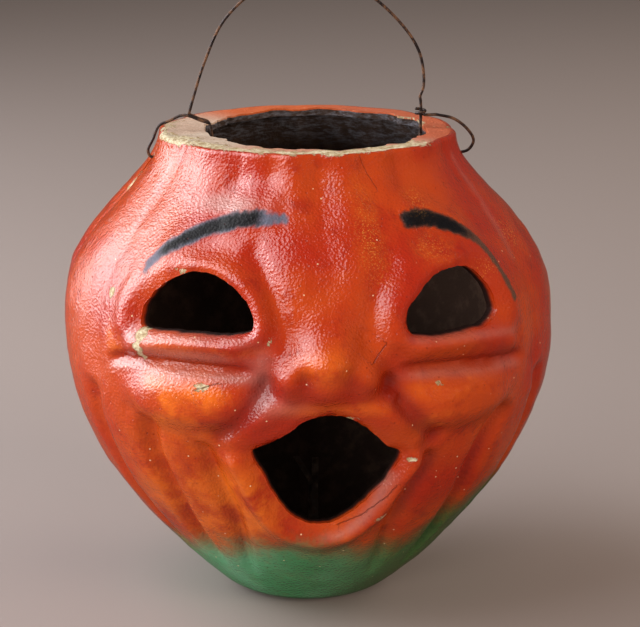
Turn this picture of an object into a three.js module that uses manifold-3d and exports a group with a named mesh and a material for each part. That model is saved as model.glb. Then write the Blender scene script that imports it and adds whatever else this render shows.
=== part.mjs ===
import * as THREE from 'three';
import { mergeVertices } from 'three/addons/utils/BufferGeometryUtils.js';
import Module from 'manifold-3d';

// A moulded paper-pulp jack-o'-lantern with a wire bail, in millimetres.
// +Z is up, the face looks along -Y, and the foot stands on z = 0.
// A place on the shell is an angle round the axis, in degrees from the middle
// of the face (positive to the viewer's right), and a height.

// Shell: the outside is a revolved profile, measured over the rib crests
const HEIGHT = 159;
const BELLY_RADIUS = 83;
const BELLY_HEIGHT = 94;
const FOOT_RADIUS = 26;
const RIM_RADIUS = 50;
const SHOULDER_POWER = 1.45;
const FOOT_ROUND = 4;
const RIM_ROUND = 1.4;
const WALL = 2.6;
const FLOOR_THICKNESS = 5.6;

// Rim opening: an uneven oval in the flange that turns in from the wall
const OPENING_HALF_WIDTH = 37.5;
const OPENING_HALF_DEPTH = 41;
const OPENING_SHIFT = 3;
const OPENING_UNEVENNESS = 0.5;

// Ribs of the pumpkin
const RIB_COUNT = 12;
const RIB_DEPTH_HIGH = 1.6;
const RIB_DEPTH_LOW = 3.4;
const RIB_SHARPNESS = 0.8;
const RIB_CHANGE_HEIGHT = 66;

// Face: openings
const EYE_ANGLE = 30;
const EYE_BASE_HEIGHT = 107.3;
const EYE_HALF_WIDTH = 13.5;
const EYE_HEIGHT = 18.3;
const MOUTH_CENTRE_HEIGHT = 65;
const MOUTH_HALF_WIDTH = 17.6;
const MOUTH_TOP = 18.3;
const MOUTH_BOTTOM = 22.9;

// Face: moulded relief, as the height that each form stands out or goes in
const NOSE_OUT = 6.5;
const NOSE_HEIGHT = 99.5;
const BRIDGE_OUT = 2;
const NOSE_TIP_OUT = 3;
const SEPTUM_OUT = 2.2;
const WING_OUT = 5;
const WING_ANGLE = 9;
const NOSTRIL_DEPTH = 3.6;
const CHEEK_OUT = 5.5;
const CHEEK_ANGLE = 30.8;
const CHEEK_HEIGHT = 85.5;
const BAG_OUT = 3;
const BAG_CREASE = 2.4;
const LID_OUT = 3.2;
const LID_EDGE_OUT = 1;         // at the edge of the eye
const LID_DISTANCE = 2.3;       // from the eye out to the crest of the lid
const LID_FALL = 2.7;
const TEMPLE_LID_OUT = 1.8;     // the same at the outer corner
const TEMPLE_LID_EDGE_OUT = -1.6;
const TEMPLE_LID_DISTANCE = 5.9;
const TEMPLE_LID_FALL = 6.7;
const LID_CREASE = 1.8;
const LID_CREASE_RADIUS = 31.5;
const BROW_OUT = 2.4;
const FOREHEAD_WAVE = 0.9;
const FOREHEAD_RIDGE_ANGLE = 9.3;
const FOLD_DEPTH = 2.6;
const LOWER_LIP_OUT = 4.3;
const UPPER_LIP_OUT = 2.6;
const JAW_GROOVE_DEPTH = 4;

// Bail wire and its two holes
const WIRE_RADIUS = 0.5;
const WIRE_DROP = 9;            // from the rim down to the wire where it passes the wall
const HOLE_RADIUS = 2.2;
const TEAR_LENGTH = 4.5;        // the left hole is torn downwards
const WIRE_BEARING_GAP = 0.3;   // the wire bears on the top of its hole
const BAIL_RISE = 50;
const BAIL_HALF_SPAN = 39;
const RIM_CLEARANCE = 2.2;
const EDGE_CLEARANCE = 2.4;
const TWIST_RADIUS = 1.5;
const TWIST_PITCH = 1.5;
const TWIST_TURNS = 1.5;

// Gummed paper tapes inside the seams
const TAPE_WIDTH = 10;
const TAPE_THICKNESS = 0.4;
const TAPE_GAP = 0.5;
const TAPE_BELOW_HOLE = 4;

// Tin candle holder and the split brad that fixes it
const HOLDER_TO_TAPE = 0.7;
const HOLDER_SIDEWAYS = 3;
const HOLDER_PAD = 12;
const HOLDER_SPREAD = 7.5;
const HOLDER_TIN = 0.6;
const ARM_WIDTH = 2.2;
const FRONT_ARM_HEIGHT = 35.6;
const BACK_ARM_HEIGHT = 30.5;
const BACK_ARM_LEAN = 5.4;
const BRAD_HEAD_RADIUS = 3;
const BRAD_HEAD_HEIGHT = 1.3;
const BRAD_SHANK_RADIUS = 0.9;
const BRAD_LEG = 4;
const BRAD_CLEARANCE = 0.3;
const POCKET_DEPTH = 3;
const POCKET_MARGIN = 1.2;

// Facets: angle steps of the skins, in degrees, and height steps, in millimetres
const FACE_STEP = 2.4;
const SIDE_STEP = 5;
const BACK_STEP = 7.5;
const CUT_AWAY_STEP = 30;       // beyond the seam, where the other half takes over
const FACE_HALF_ANGLE = 60;
const FACE_ROW = 3.1;
const BODY_ROW = 6.5;
const INSIDE_STEP = 6;
const INSIDE_ROW = 6.5;
const BEYOND = 30;              // how far a cutter runs past what it cuts

const wasm = await Module();
wasm.setup();

const { abs, cos, exp, hypot, min, PI, sin, sqrt } = Math;
const radians = THREE.MathUtils.degToRad;
const point = (x, y, z) => new THREE.Vector3(x, y, z);
const wireHeight = HEIGHT - WIRE_DROP;
const holeHeight = wireHeight + WIRE_RADIUS + WIRE_BEARING_GAP - HOLE_RADIUS;
const holderBack = TAPE_WIDTH / 2 + HOLDER_TO_TAPE + HOLDER_SPREAD + HOLDER_TIN / 2;

// Solids and meshes

function solidOf(geometry) {
  const bare = geometry.clone();
  bare.deleteAttribute('normal');
  bare.deleteAttribute('uv');
  const merged = mergeVertices(bare, 1e-4);
  return new wasm.Manifold(new wasm.Mesh({
    numProp: 3,
    vertProperties: new Float32Array(merged.attributes.position.array),
    triVerts: new Uint32Array(merged.index.array),
  }));
}

function geometryOf(solid) {
  const mesh = solid.getMesh();
  const geometry = new THREE.BufferGeometry();
  geometry.setAttribute('position', new THREE.BufferAttribute(mesh.vertProperties, 3));
  geometry.setIndex(new THREE.BufferAttribute(mesh.triVerts, 1));
  return geometry;
}

function indexed(points, faces) {
  const geometry = new THREE.BufferGeometry().setFromPoints(points);
  geometry.setIndex(faces);
  return geometry;
}

// Rings of points, lowest first and each running anticlockwise seen from above,
// closed by a point at the bottom and one at the top
function ringSkin(rings, bottom, top) {
  const around = rings[0].length;
  const faces = [];
  const at = (ring, column) => 1 + ring * around + (column % around);
  const topIndex = 1 + rings.length * around;
  for (let column = 0; column < around; column += 1) {
    faces.push(0, at(0, column + 1), at(0, column));
    faces.push(topIndex, at(rings.length - 1, column), at(rings.length - 1, column + 1));
    for (let ring = 0; ring < rings.length - 1; ring += 1) {
      faces.push(at(ring, column), at(ring, column + 1), at(ring + 1, column + 1));
      faces.push(at(ring, column), at(ring + 1, column + 1), at(ring + 1, column));
    }
  }
  return indexed([bottom, ...rings.flat(), top], faces);
}

// A bar whose section is carried along a path: a ring of points round each path point
function sweptBar(path, radius, sides) {
  let across = point(0, 1, 0);
  const rings = path.map((centre, i) => {
    const before = path[Math.max(i - 1, 0)];
    const after = path[min(i + 1, path.length - 1)];
    const along = after.clone().sub(before).normalize();
    across = across.clone().addScaledVector(along, -across.dot(along)).normalize();
    const other = along.clone().cross(across);
    return Array.from({ length: sides }, (_, k) => {
      const turn = (2 * PI * k) / sides;
      return centre.clone()
        .addScaledVector(across, radius * cos(turn))
        .addScaledVector(other, radius * sin(turn));
    });
  });
  return ringSkin(rings, path[0].clone(), path[path.length - 1].clone());
}

// Shell profile and relief

const smooth = (from, to, value) => THREE.MathUtils.smoothstep(
  from < to ? value : -value, from < to ? from : -from, from < to ? to : -to);

function crestRadius(z) {
  if (z < BELLY_HEIGHT) {
    const left = 1 - z / BELLY_HEIGHT;
    return FOOT_RADIUS + (BELLY_RADIUS - FOOT_RADIUS) * (1 - left ** 2);
  }
  const up = ((z - BELLY_HEIGHT) / (HEIGHT - BELLY_HEIGHT)) ** SHOULDER_POWER;
  return BELLY_RADIUS - ((BELLY_RADIUS - RIM_RADIUS) * (1 - cos(PI * up))) / 2;
}

// What a round of the given radius takes off at a distance from the edge
function roundedOff(distance, radius) {
  return distance >= radius ? 0 : radius - sqrt(radius ** 2 - (radius - distance) ** 2);
}

// Ribs: rounded crests with narrow grooves. They fade on the face and at the foot,
// and on the jaw they give way to its own grooves.
function ribGroove(angle, z) {
  const low = smooth(RIB_CHANGE_HEIGHT + 10, RIB_CHANGE_HEIGHT - 10, z);
  const depth = RIB_DEPTH_HIGH + (RIB_DEPTH_LOW - RIB_DEPTH_HIGH) * low;
  const aside = abs(angle);
  const onFace = smooth(FACE_HALF_ANGLE, FACE_HALF_ANGLE - 12, aside)
    * smooth(60, 76, z) * smooth(141, 128, z);
  const onJaw = smooth(78, 66, aside) * smooth(92, 78, z);
  const onForehead = 0.7 * smooth(32, 22, aside) * smooth(120, 128, z);
  const section = 1 - abs(sin(radians((RIB_COUNT * angle) / 2))) ** RIB_SHARPNESS;
  return depth * section * (1 - 0.85 * onFace) * (1 - onJaw) * (1 - onForehead)
    * smooth(0, 12, z);
}

function bump(angle, z, centreAngle, centreHeight, halfWidth, halfHeight, power = 1) {
  const reach = ((angle - centreAngle) / halfWidth) ** 2 + ((z - centreHeight) / halfHeight) ** 2;
  return exp(-(reach ** power));
}

// How near a place comes to a line of places: the distance on the shell, in millimetres,
// and the share of the line's length at which it is nearest
const DEGREE_LENGTH = radians(1) * (BELLY_RADIUS - 4);
function nearestOn(line, angle, z) {
  const lengths = line.slice(1).map(
    ([a, h], i) => hypot((a - line[i][0]) * DEGREE_LENGTH, h - line[i][1]));
  const whole = lengths.reduce((sum, length) => sum + length, 0);
  let [distance, share, passed] = [Infinity, 0, 0];
  lengths.forEach((length, i) => {
    const [a0, z0] = line[i];
    const [dx, dz] = [(line[i + 1][0] - a0) * DEGREE_LENGTH, line[i + 1][1] - z0];
    const [px, pz] = [(angle - a0) * DEGREE_LENGTH, z - z0];
    const along = THREE.MathUtils.clamp((px * dx + pz * dz) / length ** 2, 0, 1);
    const away = hypot(px - along * dx, pz - along * dz);
    if (away < distance) [distance, share] = [away, (passed + along * length) / whole];
    passed += length;
  });
  return { distance, share };
}

// A rounded ridge of height 1 along a line, which rises and dies away over shares of its length
function roll(line, halfWidth, angle, z, rise = 0.15, fall = 0.15) {
  const { distance, share } = nearestOn(line, angle, z);
  return smooth(0, rise, share) * smooth(1, 1 - fall, share) * exp(-((distance / halfWidth) ** 2));
}

const mirrored = (line) => line.map(([angle, z]) => [-angle, z]);
const lift = (line, z) => line.map(([angle, rise]) => [angle, z + rise]);
const SIDES = [-1, 1];
const onSide = (side, line) => (side < 0 ? mirrored(line) : line);

const BROW_LEFT = lift([[-48.5, -1], [-40, 7.5], [-29, 12.5], [-17, 14.5], [-11, 14]],
  EYE_BASE_HEIGHT + 21);
const BROW_RIGHT = lift([[22.5, 12], [31, 12], [40, 7.5], [46.4, 2], [50, -5], [51.6, -14]],
  EYE_BASE_HEIGHT + 21);
const BAG_RIGHT = lift([[14.5, -3.1], [28, -4], [41, -5.5], [50, -8]], EYE_BASE_HEIGHT);
const CREASE_RIGHT = lift([[13.2, -9.8], [26, -9.7], [39.5, -10.6], [48.5, -12.2], [55, -14.4]],
  EYE_BASE_HEIGHT);
const FOLD_RIGHT = [[12.5, 98], [14, 91.6], [17.3, 84], [22, 77.5], [28.3, 73.5]];
const UPPER_LIP_RIGHT = [[24.5, 70.6], [14.6, 82], [9.5, 87.2]];
const UPPER_LIP = [...mirrored(UPPER_LIP_RIGHT), [0, 90], ...UPPER_LIP_RIGHT.toReversed()];
const LOWER_LIP_RIGHT = [[23.5, 71.5], [20.4, 62], [18.4, 54], [15.9, 45], [11.9, 38.4], [6, 34.2]];
const LOWER_LIP = [...mirrored(LOWER_LIP_RIGHT), [0, 32.8], ...LOWER_LIP_RIGHT.toReversed()];
const JAW_GROOVES = [
  [[-63, 86], [-64, 73], [-62.5, 42], [-60, 12]],
  [[-41.8, 79.5], [-44.2, 67], [-42.8, 50], [-43, 31], [-41, 12]],
  [[-29.8, 74], [-27.4, 59], [-25.4, 42], [-28.4, 23], [-29.5, 12]],
  [[25.4, 70], [22.2, 55.6], [20.6, 40], [22, 28], [26, 12]],
  [[48, 80], [42, 65], [41, 50], [42, 35], [41, 12]],
  [[64, 88], [64, 73], [62.5, 42], [60, 12]],
];

// A closed smooth line through a few places
function smoothLoop(places, count) {
  const curve = new THREE.CatmullRomCurve3(places.map(([a, z]) => point(a, z, 0)), true);
  return curve.getPoints(count).map((p) => [p.x, p.y]);
}

// An eye is a half oval over a slightly sagging base, with rounded corners
const eyeLoops = new Map(SIDES.map((side) => [side, smoothLoop([
  [-1, 0.13], [-0.93, 0.48], [-0.62, 0.82], [0, 1], [0.6, 0.83], [0.92, 0.5], [1, 0.16],
  [0.72, 0.02], [0, 0], [-0.75, 0],
].map(([across, up]) => [
  side * (EYE_ANGLE - across * EYE_HALF_WIDTH), EYE_BASE_HEIGHT + up * EYE_HEIGHT,
]), 32)]));

// The mouth laughs: a domed upper lip, drooping corners and a deep round lower lip
const mouthLoop = smoothLoop([
  [-1, 0.3], [-0.66, 0.55], [-0.28, 0.9], [0, 1], [0.3, 0.92], [0.68, 0.5], [1, 0.2],
  [0.86, -0.22], [0.52, -0.68], [0, -1], [-0.42, -0.84], [-0.74, -0.44],
].map(([across, up]) => [
  across * MOUTH_HALF_WIDTH, MOUTH_CENTRE_HEIGHT + up * (up > 0 ? MOUTH_TOP : MOUTH_BOTTOM),
]), 40);

// Broad forms, which the inside of the shell follows too
function broadRelief(angle, z) {
  let out = NOSE_OUT * bump(angle, z, 0, NOSE_HEIGHT, 9, 8, 1.6)
    + BRIDGE_OUT * bump(angle, z, 0, NOSE_HEIGHT + 8.5, 5.5, 11, 2);
  for (const side of SIDES) {
    out += CHEEK_OUT * bump(angle, z, side * CHEEK_ANGLE, CHEEK_HEIGHT, 15, 9, 1.8);
  }
  for (const groove of JAW_GROOVES) out -= JAW_GROOVE_DEPTH * roll(groove, 3.7, angle, z, 0.08, 0.3);
  return out;
}

// Finer forms: the inside follows only their dents
function fineRelief(angle, z) {
  return browRelief(angle, z) + eyeRelief(angle, z) + noseRelief(angle, z) + mouthRelief(angle, z);
}

// Each brow is a ridge. Two ridges run down the forehead to the nose, with grooves beside them.
function browRelief(angle, z) {
  const spread = angle / (FOREHEAD_RIDGE_ANGLE * (0.5 + 0.5 * smooth(112, 133, z)));
  const wave = -cos(PI * spread) * smooth(2.5, 1.7, abs(spread)) * smooth(112, 126, z);
  return FOREHEAD_WAVE * wave
    + BROW_OUT * (roll(BROW_LEFT, 5, angle, z) + roll(BROW_RIGHT, 5, angle, z, 0.15, 0.5));
}

// The upper lid rises from the eye to a roll and falls away outside it. The roll lies close
// to the eye by the nose and farther out at the temple, over a slope turned inwards.
function lidRelief(side, angle, z) {
  const temple = smooth(EYE_ANGLE + 1, EYE_ANGLE + 17, side * angle);
  const mixed = (byNose, atTemple) => THREE.MathUtils.lerp(byNose, atTemple, temple);
  const reach = hypot((side * angle - EYE_ANGLE) / EYE_HALF_WIDTH, (z - EYE_BASE_HEIGHT) / EYE_HEIGHT);
  const inEye = reach < 0.95 && z > EYE_BASE_HEIGHT;
  const away = nearestOn(eyeLoops.get(side), angle, z).distance * (inEye ? -1 : 1);
  const crest = mixed(LID_DISTANCE, TEMPLE_LID_DISTANCE);
  const [edge, top] = [mixed(LID_EDGE_OUT, TEMPLE_LID_EDGE_OUT), mixed(LID_OUT, TEMPLE_LID_OUT)];
  const rising = edge + (top - edge) * smooth(-0.4, 1, away / crest);
  const falling = top * exp(-(((away - crest) / mixed(LID_FALL, TEMPLE_LID_FALL)) ** 2));
  return (away < crest ? rising : falling) * smooth(-8, 0, z - EYE_BASE_HEIGHT)
    * smooth(56, 50, side * angle);
}

// A crease runs outside the lid towards the nose. The bag is a roll under the eye, with
// a crease below it.
function eyeRelief(angle, z) {
  let out = 0;
  for (const side of SIDES) {
    const outwards = (side * angle - EYE_ANGLE - 2) * DEGREE_LENGTH;
    const up = z - EYE_BASE_HEIGHT + 3.3;
    const beyond = hypot(outwards, up) - LID_CREASE_RADIUS;
    out += lidRelief(side, angle, z);
    out -= LID_CREASE * exp(-((beyond / 2.6) ** 2)) * smooth(-8, 0, up) * smooth(-8, -16, outwards);
    out += BAG_OUT * roll(onSide(side, BAG_RIGHT), 3.6, angle, z);
    out -= BAG_CREASE * roll(onSide(side, CREASE_RIGHT), 2, angle, z);
  }
  return out;
}

// A round tip and the septum below it, with a nostril and a wing on each side
function noseRelief(angle, z) {
  let out = NOSE_TIP_OUT * bump(angle, z, 0, NOSE_HEIGHT + 2, 4.4, 4.6, 1.3)
    + SEPTUM_OUT * bump(angle, z, 0, NOSE_HEIGHT - 7, 2.6, 3.2);
  for (const side of SIDES) {
    out += WING_OUT * bump(angle, z, side * WING_ANGLE, NOSE_HEIGHT - 2.3, 2.7, 5, 1.3);
    out -= NOSTRIL_DEPTH * bump(angle, z, side * 0.53 * WING_ANGLE, NOSE_HEIGHT - 3.5, 1.9, 3.2);
  }
  return out;
}

// The lower lip is a full roll, the upper one a soft one under the folds of the cheeks
function mouthRelief(angle, z) {
  let out = LOWER_LIP_OUT * roll(LOWER_LIP, 3.7, angle, z, 0.07, 0.07)
    + UPPER_LIP_OUT * roll(UPPER_LIP, 4.6, angle, z, 0.2, 0.2);
  for (const side of SIDES) out -= FOLD_DEPTH * roll(onSide(side, FOLD_RIGHT), 3, angle, z);
  return out;
}

function shellPoint(radius, angle, z) {
  const turn = radians(angle);
  return point(radius * sin(turn), -radius * cos(turn), z);
}

function outsideRadius(angle, z) {
  return crestRadius(z) - ribGroove(angle, z) + broadRelief(angle, z) + fineRelief(angle, z)
    - roundedOff(z, FOOT_ROUND) - roundedOff(HEIGHT - z, RIM_ROUND);
}

// The inside keeps the wall's thickness clear of the deepest dent nearby
function insideRadius(angle, z) {
  const slope = crestRadius(z + 1) - crestRadius(z);
  const around = [-4, -2, 0, 2, 4];
  const nearby = around.flatMap((a) => around.map((h) => [angle + a, z + h]));
  const form = min(...nearby.map(
    ([a, h]) => broadRelief(a, h) + min(fineRelief(a, h), 0) - ribGroove(a, h)));
  return crestRadius(z) + form - WALL * sqrt(1 + slope ** 2);
}

// Evenly spaced values from one to another, with steps no longer than asked, without the last
function steps(from, to, longest) {
  const count = Math.ceil(abs(to - from) / longest - 1e-9);
  return Array.from({ length: count }, (_, i) => from + ((to - from) * i) / count);
}

// Openings in the wall, cut along lines from the axis

// An outline drawn in angle and height becomes a wedge that points at the axis
function wedge(loop) {
  const near = FOOT_RADIUS;
  const far = BELLY_RADIUS + NOSE_OUT + BEYOND;
  const outline = new THREE.Shape(loop.slice(0, -1).map(([a, z]) => new THREE.Vector2(a, z)));
  const geometry = new THREE.ExtrudeGeometry(outline, { depth: far - near, bevelEnabled: false });
  const places = geometry.attributes.position;
  for (let i = 0; i < places.count; i += 1) {
    const p = shellPoint(near + places.getZ(i), places.getX(i), places.getY(i));
    places.setXYZ(i, p.x, p.y, p.z);
  }
  return solidOf(geometry);
}

function rimOpening() {
  const outline = new THREE.Shape(steps(0, 360, 6).map((a) => {
    const turn = radians(a);
    const uneven = OPENING_UNEVENNESS * (sin(3 * turn + 1) + 0.7 * sin(7 * turn) + 0.4 * sin(11 * turn));
    return new THREE.Vector2(
      OPENING_SHIFT + (OPENING_HALF_WIDTH + uneven) * cos(turn),
      (OPENING_HALF_DEPTH + uneven) * sin(turn));
  }));
  const geometry = new THREE.ExtrudeGeometry(outline, { depth: BEYOND, bevelEnabled: false });
  return solidOf(geometry.translate(0, 0, HEIGHT - BEYOND / 2));
}

// The two halves of the shell, which meet in the seam through the wire holes

// Angles of the columns of points: close together where the half has its detail
const outsideAngles = {
  front: [
    ...steps(-90, -FACE_HALF_ANGLE, SIDE_STEP),
    ...steps(-FACE_HALF_ANGLE, FACE_HALF_ANGLE, FACE_STEP),
    ...steps(FACE_HALF_ANGLE, 90, SIDE_STEP),
    ...steps(90, 270, CUT_AWAY_STEP),
  ],
  back: [...steps(-90, 90, CUT_AWAY_STEP), ...steps(90, 270, BACK_STEP)],
};
const insideAngles = {
  front: [...steps(-90, 90, INSIDE_STEP), ...steps(90, 270, CUT_AWAY_STEP)],
  back: outsideAngles.back,
};

const faceBottom = MOUTH_CENTRE_HEIGHT - MOUTH_BOTTOM - 14;
const foot = [0, 0.08 * FOOT_ROUND, 0.4 * FOOT_ROUND];
const rim = [HEIGHT - RIM_ROUND, HEIGHT - 0.3 * RIM_ROUND, HEIGHT];
const outsideHeights = {
  front: [
    ...foot, ...steps(FOOT_ROUND, faceBottom, BODY_ROW),
    ...steps(faceBottom, HEIGHT - RIM_ROUND, FACE_ROW), ...rim,
  ],
  back: [...foot, ...steps(FOOT_ROUND, HEIGHT - RIM_ROUND, BODY_ROW), ...rim],
};

const ceiling = HEIGHT - WALL;
const insideHeights = [...steps(FLOOR_THICKNESS, ceiling, INSIDE_ROW), ceiling];

// The solid under a skin given by its radius at each angle and height
function solidUnder(radiusAt, angles, heights) {
  const rings = heights.map((z) => angles.map((a) => shellPoint(radiusAt(a, z), a, z)));
  return solidOf(ringSkin(rings, point(0, 0, heights[0]), point(0, 0, heights.at(-1))));
}

function cylinder(radius, bottom, height, x = 0, y = 0, sides = 20) {
  const geometry = new THREE.CylinderGeometry(radius, radius, height, sides).rotateX(PI / 2);
  return solidOf(geometry.translate(x, y, bottom + height / 2));
}

// The hole for the wire, on one side. A tear drags its lower edge down.
function wireHole(side, tear) {
  const outline = new THREE.Shape(steps(0, 360, 22.5).map((a) => {
    const [across, up] = [HOLE_RADIUS * cos(radians(a)), HOLE_RADIUS * sin(radians(a))];
    return up < -1e-6 ? new THREE.Vector2(0.8 * across, up - tear) : new THREE.Vector2(across, up);
  }));
  const hole = new THREE.ExtrudeGeometry(outline, { depth: 2 * BELLY_RADIUS, bevelEnabled: false });
  hole.applyMatrix4(new THREE.Matrix4().makeBasis(point(0, 1, 0), point(0, 0, 1), point(1, 0, 0)));
  return solidOf(hole.translate(side > 0 ? 0 : -2 * BELLY_RADIUS, 0, holeHeight));
}

function shellHalf(half) {
  const bradHole = cylinder(
    BRAD_SHANK_RADIUS + BRAD_CLEARANCE, -BEYOND, 2 * BEYOND, HOLDER_SIDEWAYS, holderBack, 12);
  const pocket = cylinder(
    BRAD_LEG + POCKET_MARGIN, -BEYOND, BEYOND + POCKET_DEPTH, HOLDER_SIDEWAYS, holderBack);
  const wall = solidUnder(outsideRadius, outsideAngles[half], outsideHeights[half])
    .subtract(solidUnder(insideRadius, insideAngles[half], insideHeights))
    .subtract(rimOpening())
    .subtract(wireHole(-1, TEAR_LENGTH))
    .subtract(wireHole(1, 0))
    .intersect(sideOfSeam(half === 'front' ? -1 : 1));
  if (half === 'back') return wall.subtract(bradHole).subtract(pocket);
  return wall
    .subtract(wedge(eyeLoops.get(-1)))
    .subtract(wedge(eyeLoops.get(1)))
    .subtract(wedge(mouthLoop));
}

// One side of the seam plane, y = 0
function sideOfSeam(sign) {
  const size = 2 * (BELLY_RADIUS + BEYOND);
  const box = new THREE.BoxGeometry(2 * size, size, 2 * HEIGHT + size);
  return solidOf(box.translate(0, (sign * size) / 2, HEIGHT / 2));
}

// Tapes

// A strip that follows the inside of the wall, with its width along Y
function wallTape(side) {
  const bottom = FLOOR_THICKNESS + 8;
  const top = holeHeight - HOLE_RADIUS - (side < 0 ? TEAR_LENGTH : 0) - TAPE_BELOW_HOLE;
  const across = [-TAPE_WIDTH / 2, 0, TAPE_WIDTH / 2];
  const inwards = [TAPE_GAP, TAPE_GAP + TAPE_THICKNESS];
  const row = (y, depth) => [...steps(bottom, top, INSIDE_ROW), top].map((z) => {
    const radius = insideRadius(90 * side, z) - depth;
    return point(side * sqrt(radius ** 2 - y ** 2), y, z);
  });
  // a ring runs along the outer face and back along the inner one
  const edges = [
    ...across.map((y) => row(y, inwards[0])),
    ...across.toReversed().map((y) => row(y, inwards[1])),
  ];
  const ordered = side > 0 ? edges : edges.toReversed();
  const rings = ordered[0].map((_, i) => ordered.map((edge) => edge[i]));
  const middle = (ring) => ring[1].clone().lerp(ring[4], 0.5);
  return ringSkin(rings, middle(rings[0]), middle(rings[rings.length - 1]));
}

function baseTape() {
  const length = 2 * (insideRadius(90, FLOOR_THICKNESS) - 3);
  const tape = new THREE.BoxGeometry(length, TAPE_WIDTH, TAPE_THICKNESS);
  return tape.translate(0, 0, FLOOR_THICKNESS + TAPE_THICKNESS / 2);
}

// Candle holder and brad

const padBottom = FLOOR_THICKNESS;

// A strip of tin standing on edge in the YZ plane, bent along the places given
function bentStrip(places, width) {
  const half = HOLDER_TIN / 2;
  const outline = [
    ...places.map(([y, z]) => new THREE.Vector2(y - half, z)),
    ...places.toReversed().map(([y, z]) => new THREE.Vector2(y + half, z)),
  ];
  const geometry = new THREE.ExtrudeGeometry(
    new THREE.Shape(outline), { depth: width, bevelEnabled: false });
  // the outline's own x and y become Y and Z, and its depth becomes X
  const turn = new THREE.Matrix4().makeBasis(point(0, 1, 0), point(0, 0, 1), point(1, 0, 0));
  return geometry.applyMatrix4(turn).translate(-width / 2, 0, 0);
}

function candleHolder() {
  const pad = new THREE.BoxGeometry(HOLDER_PAD, 2 * HOLDER_SPREAD + HOLDER_TIN, HOLDER_TIN);
  let holder = solidOf(pad.translate(HOLDER_SIDEWAYS, holderBack, padBottom + HOLDER_TIN / 2));
  for (const side of SIDES) {
    const foot = side * HOLDER_SPREAD;
    const height = side > 0 ? BACK_ARM_HEIGHT : FRONT_ARM_HEIGHT;
    const knee = 0.7 * height;
    const arm = bentStrip([
      [foot, 0.2], [foot + side, 0.35 * height], [foot - 0.6 * side, knee], [foot + side, height],
    ], ARM_WIDTH);
    if (side > 0) leanAbove(arm, knee, BACK_ARM_LEAN / (height - knee));
    holder = holder.add(solidOf(arm.translate(HOLDER_SIDEWAYS, holderBack, padBottom)));
  }
  return holder.subtract(cylinder(
    BRAD_SHANK_RADIUS + BRAD_CLEARANCE, 0, HEIGHT, HOLDER_SIDEWAYS, holderBack, 12));
}

// Someone bent one arm to the left: everything above the knee leans
function leanAbove(geometry, knee, slope) {
  const places = geometry.attributes.position;
  for (let i = 0; i < places.count; i += 1) {
    places.setX(i, places.getX(i) - slope * Math.max(0, places.getZ(i) - knee));
  }
}

function holderBrad() {
  const headBottom = padBottom + HOLDER_TIN;
  const dome = steps(0, 90, 18).map((a) => new THREE.Vector2(
    BRAD_HEAD_RADIUS * cos(radians(a)), BRAD_HEAD_HEIGHT * sin(radians(a))));
  const head = new THREE.LatheGeometry(
    [new THREE.Vector2(0, 0), ...dome, new THREE.Vector2(0, BRAD_HEAD_HEIGHT)], 20);
  head.rotateX(PI / 2).translate(HOLDER_SIDEWAYS, holderBack, headBottom);
  const legBottom = POCKET_DEPTH - BRAD_CLEARANCE - HOLDER_TIN;
  const shank = cylinder(
    BRAD_SHANK_RADIUS, legBottom, headBottom + BRAD_HEAD_HEIGHT / 2 - legBottom,
    HOLDER_SIDEWAYS, holderBack, 12);
  const legs = new THREE.BoxGeometry(2 * BRAD_LEG, 2 * BRAD_SHANK_RADIUS, HOLDER_TIN);
  legs.translate(HOLDER_SIDEWAYS, holderBack, legBottom + HOLDER_TIN / 2);
  return solidOf(head).add(shank).add(solidOf(legs));
}

// Bail: one wire. Each end runs over the flange and the inner edge of the rim, down inside,
// out through its hole, up outside and back over the rim to the standing wire.

// A smooth run through places in the XZ plane, with its own number of steps
function run(places, count) {
  return new THREE.CatmullRomCurve3(places, false, 'centripetal').getPoints(count);
}

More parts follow.
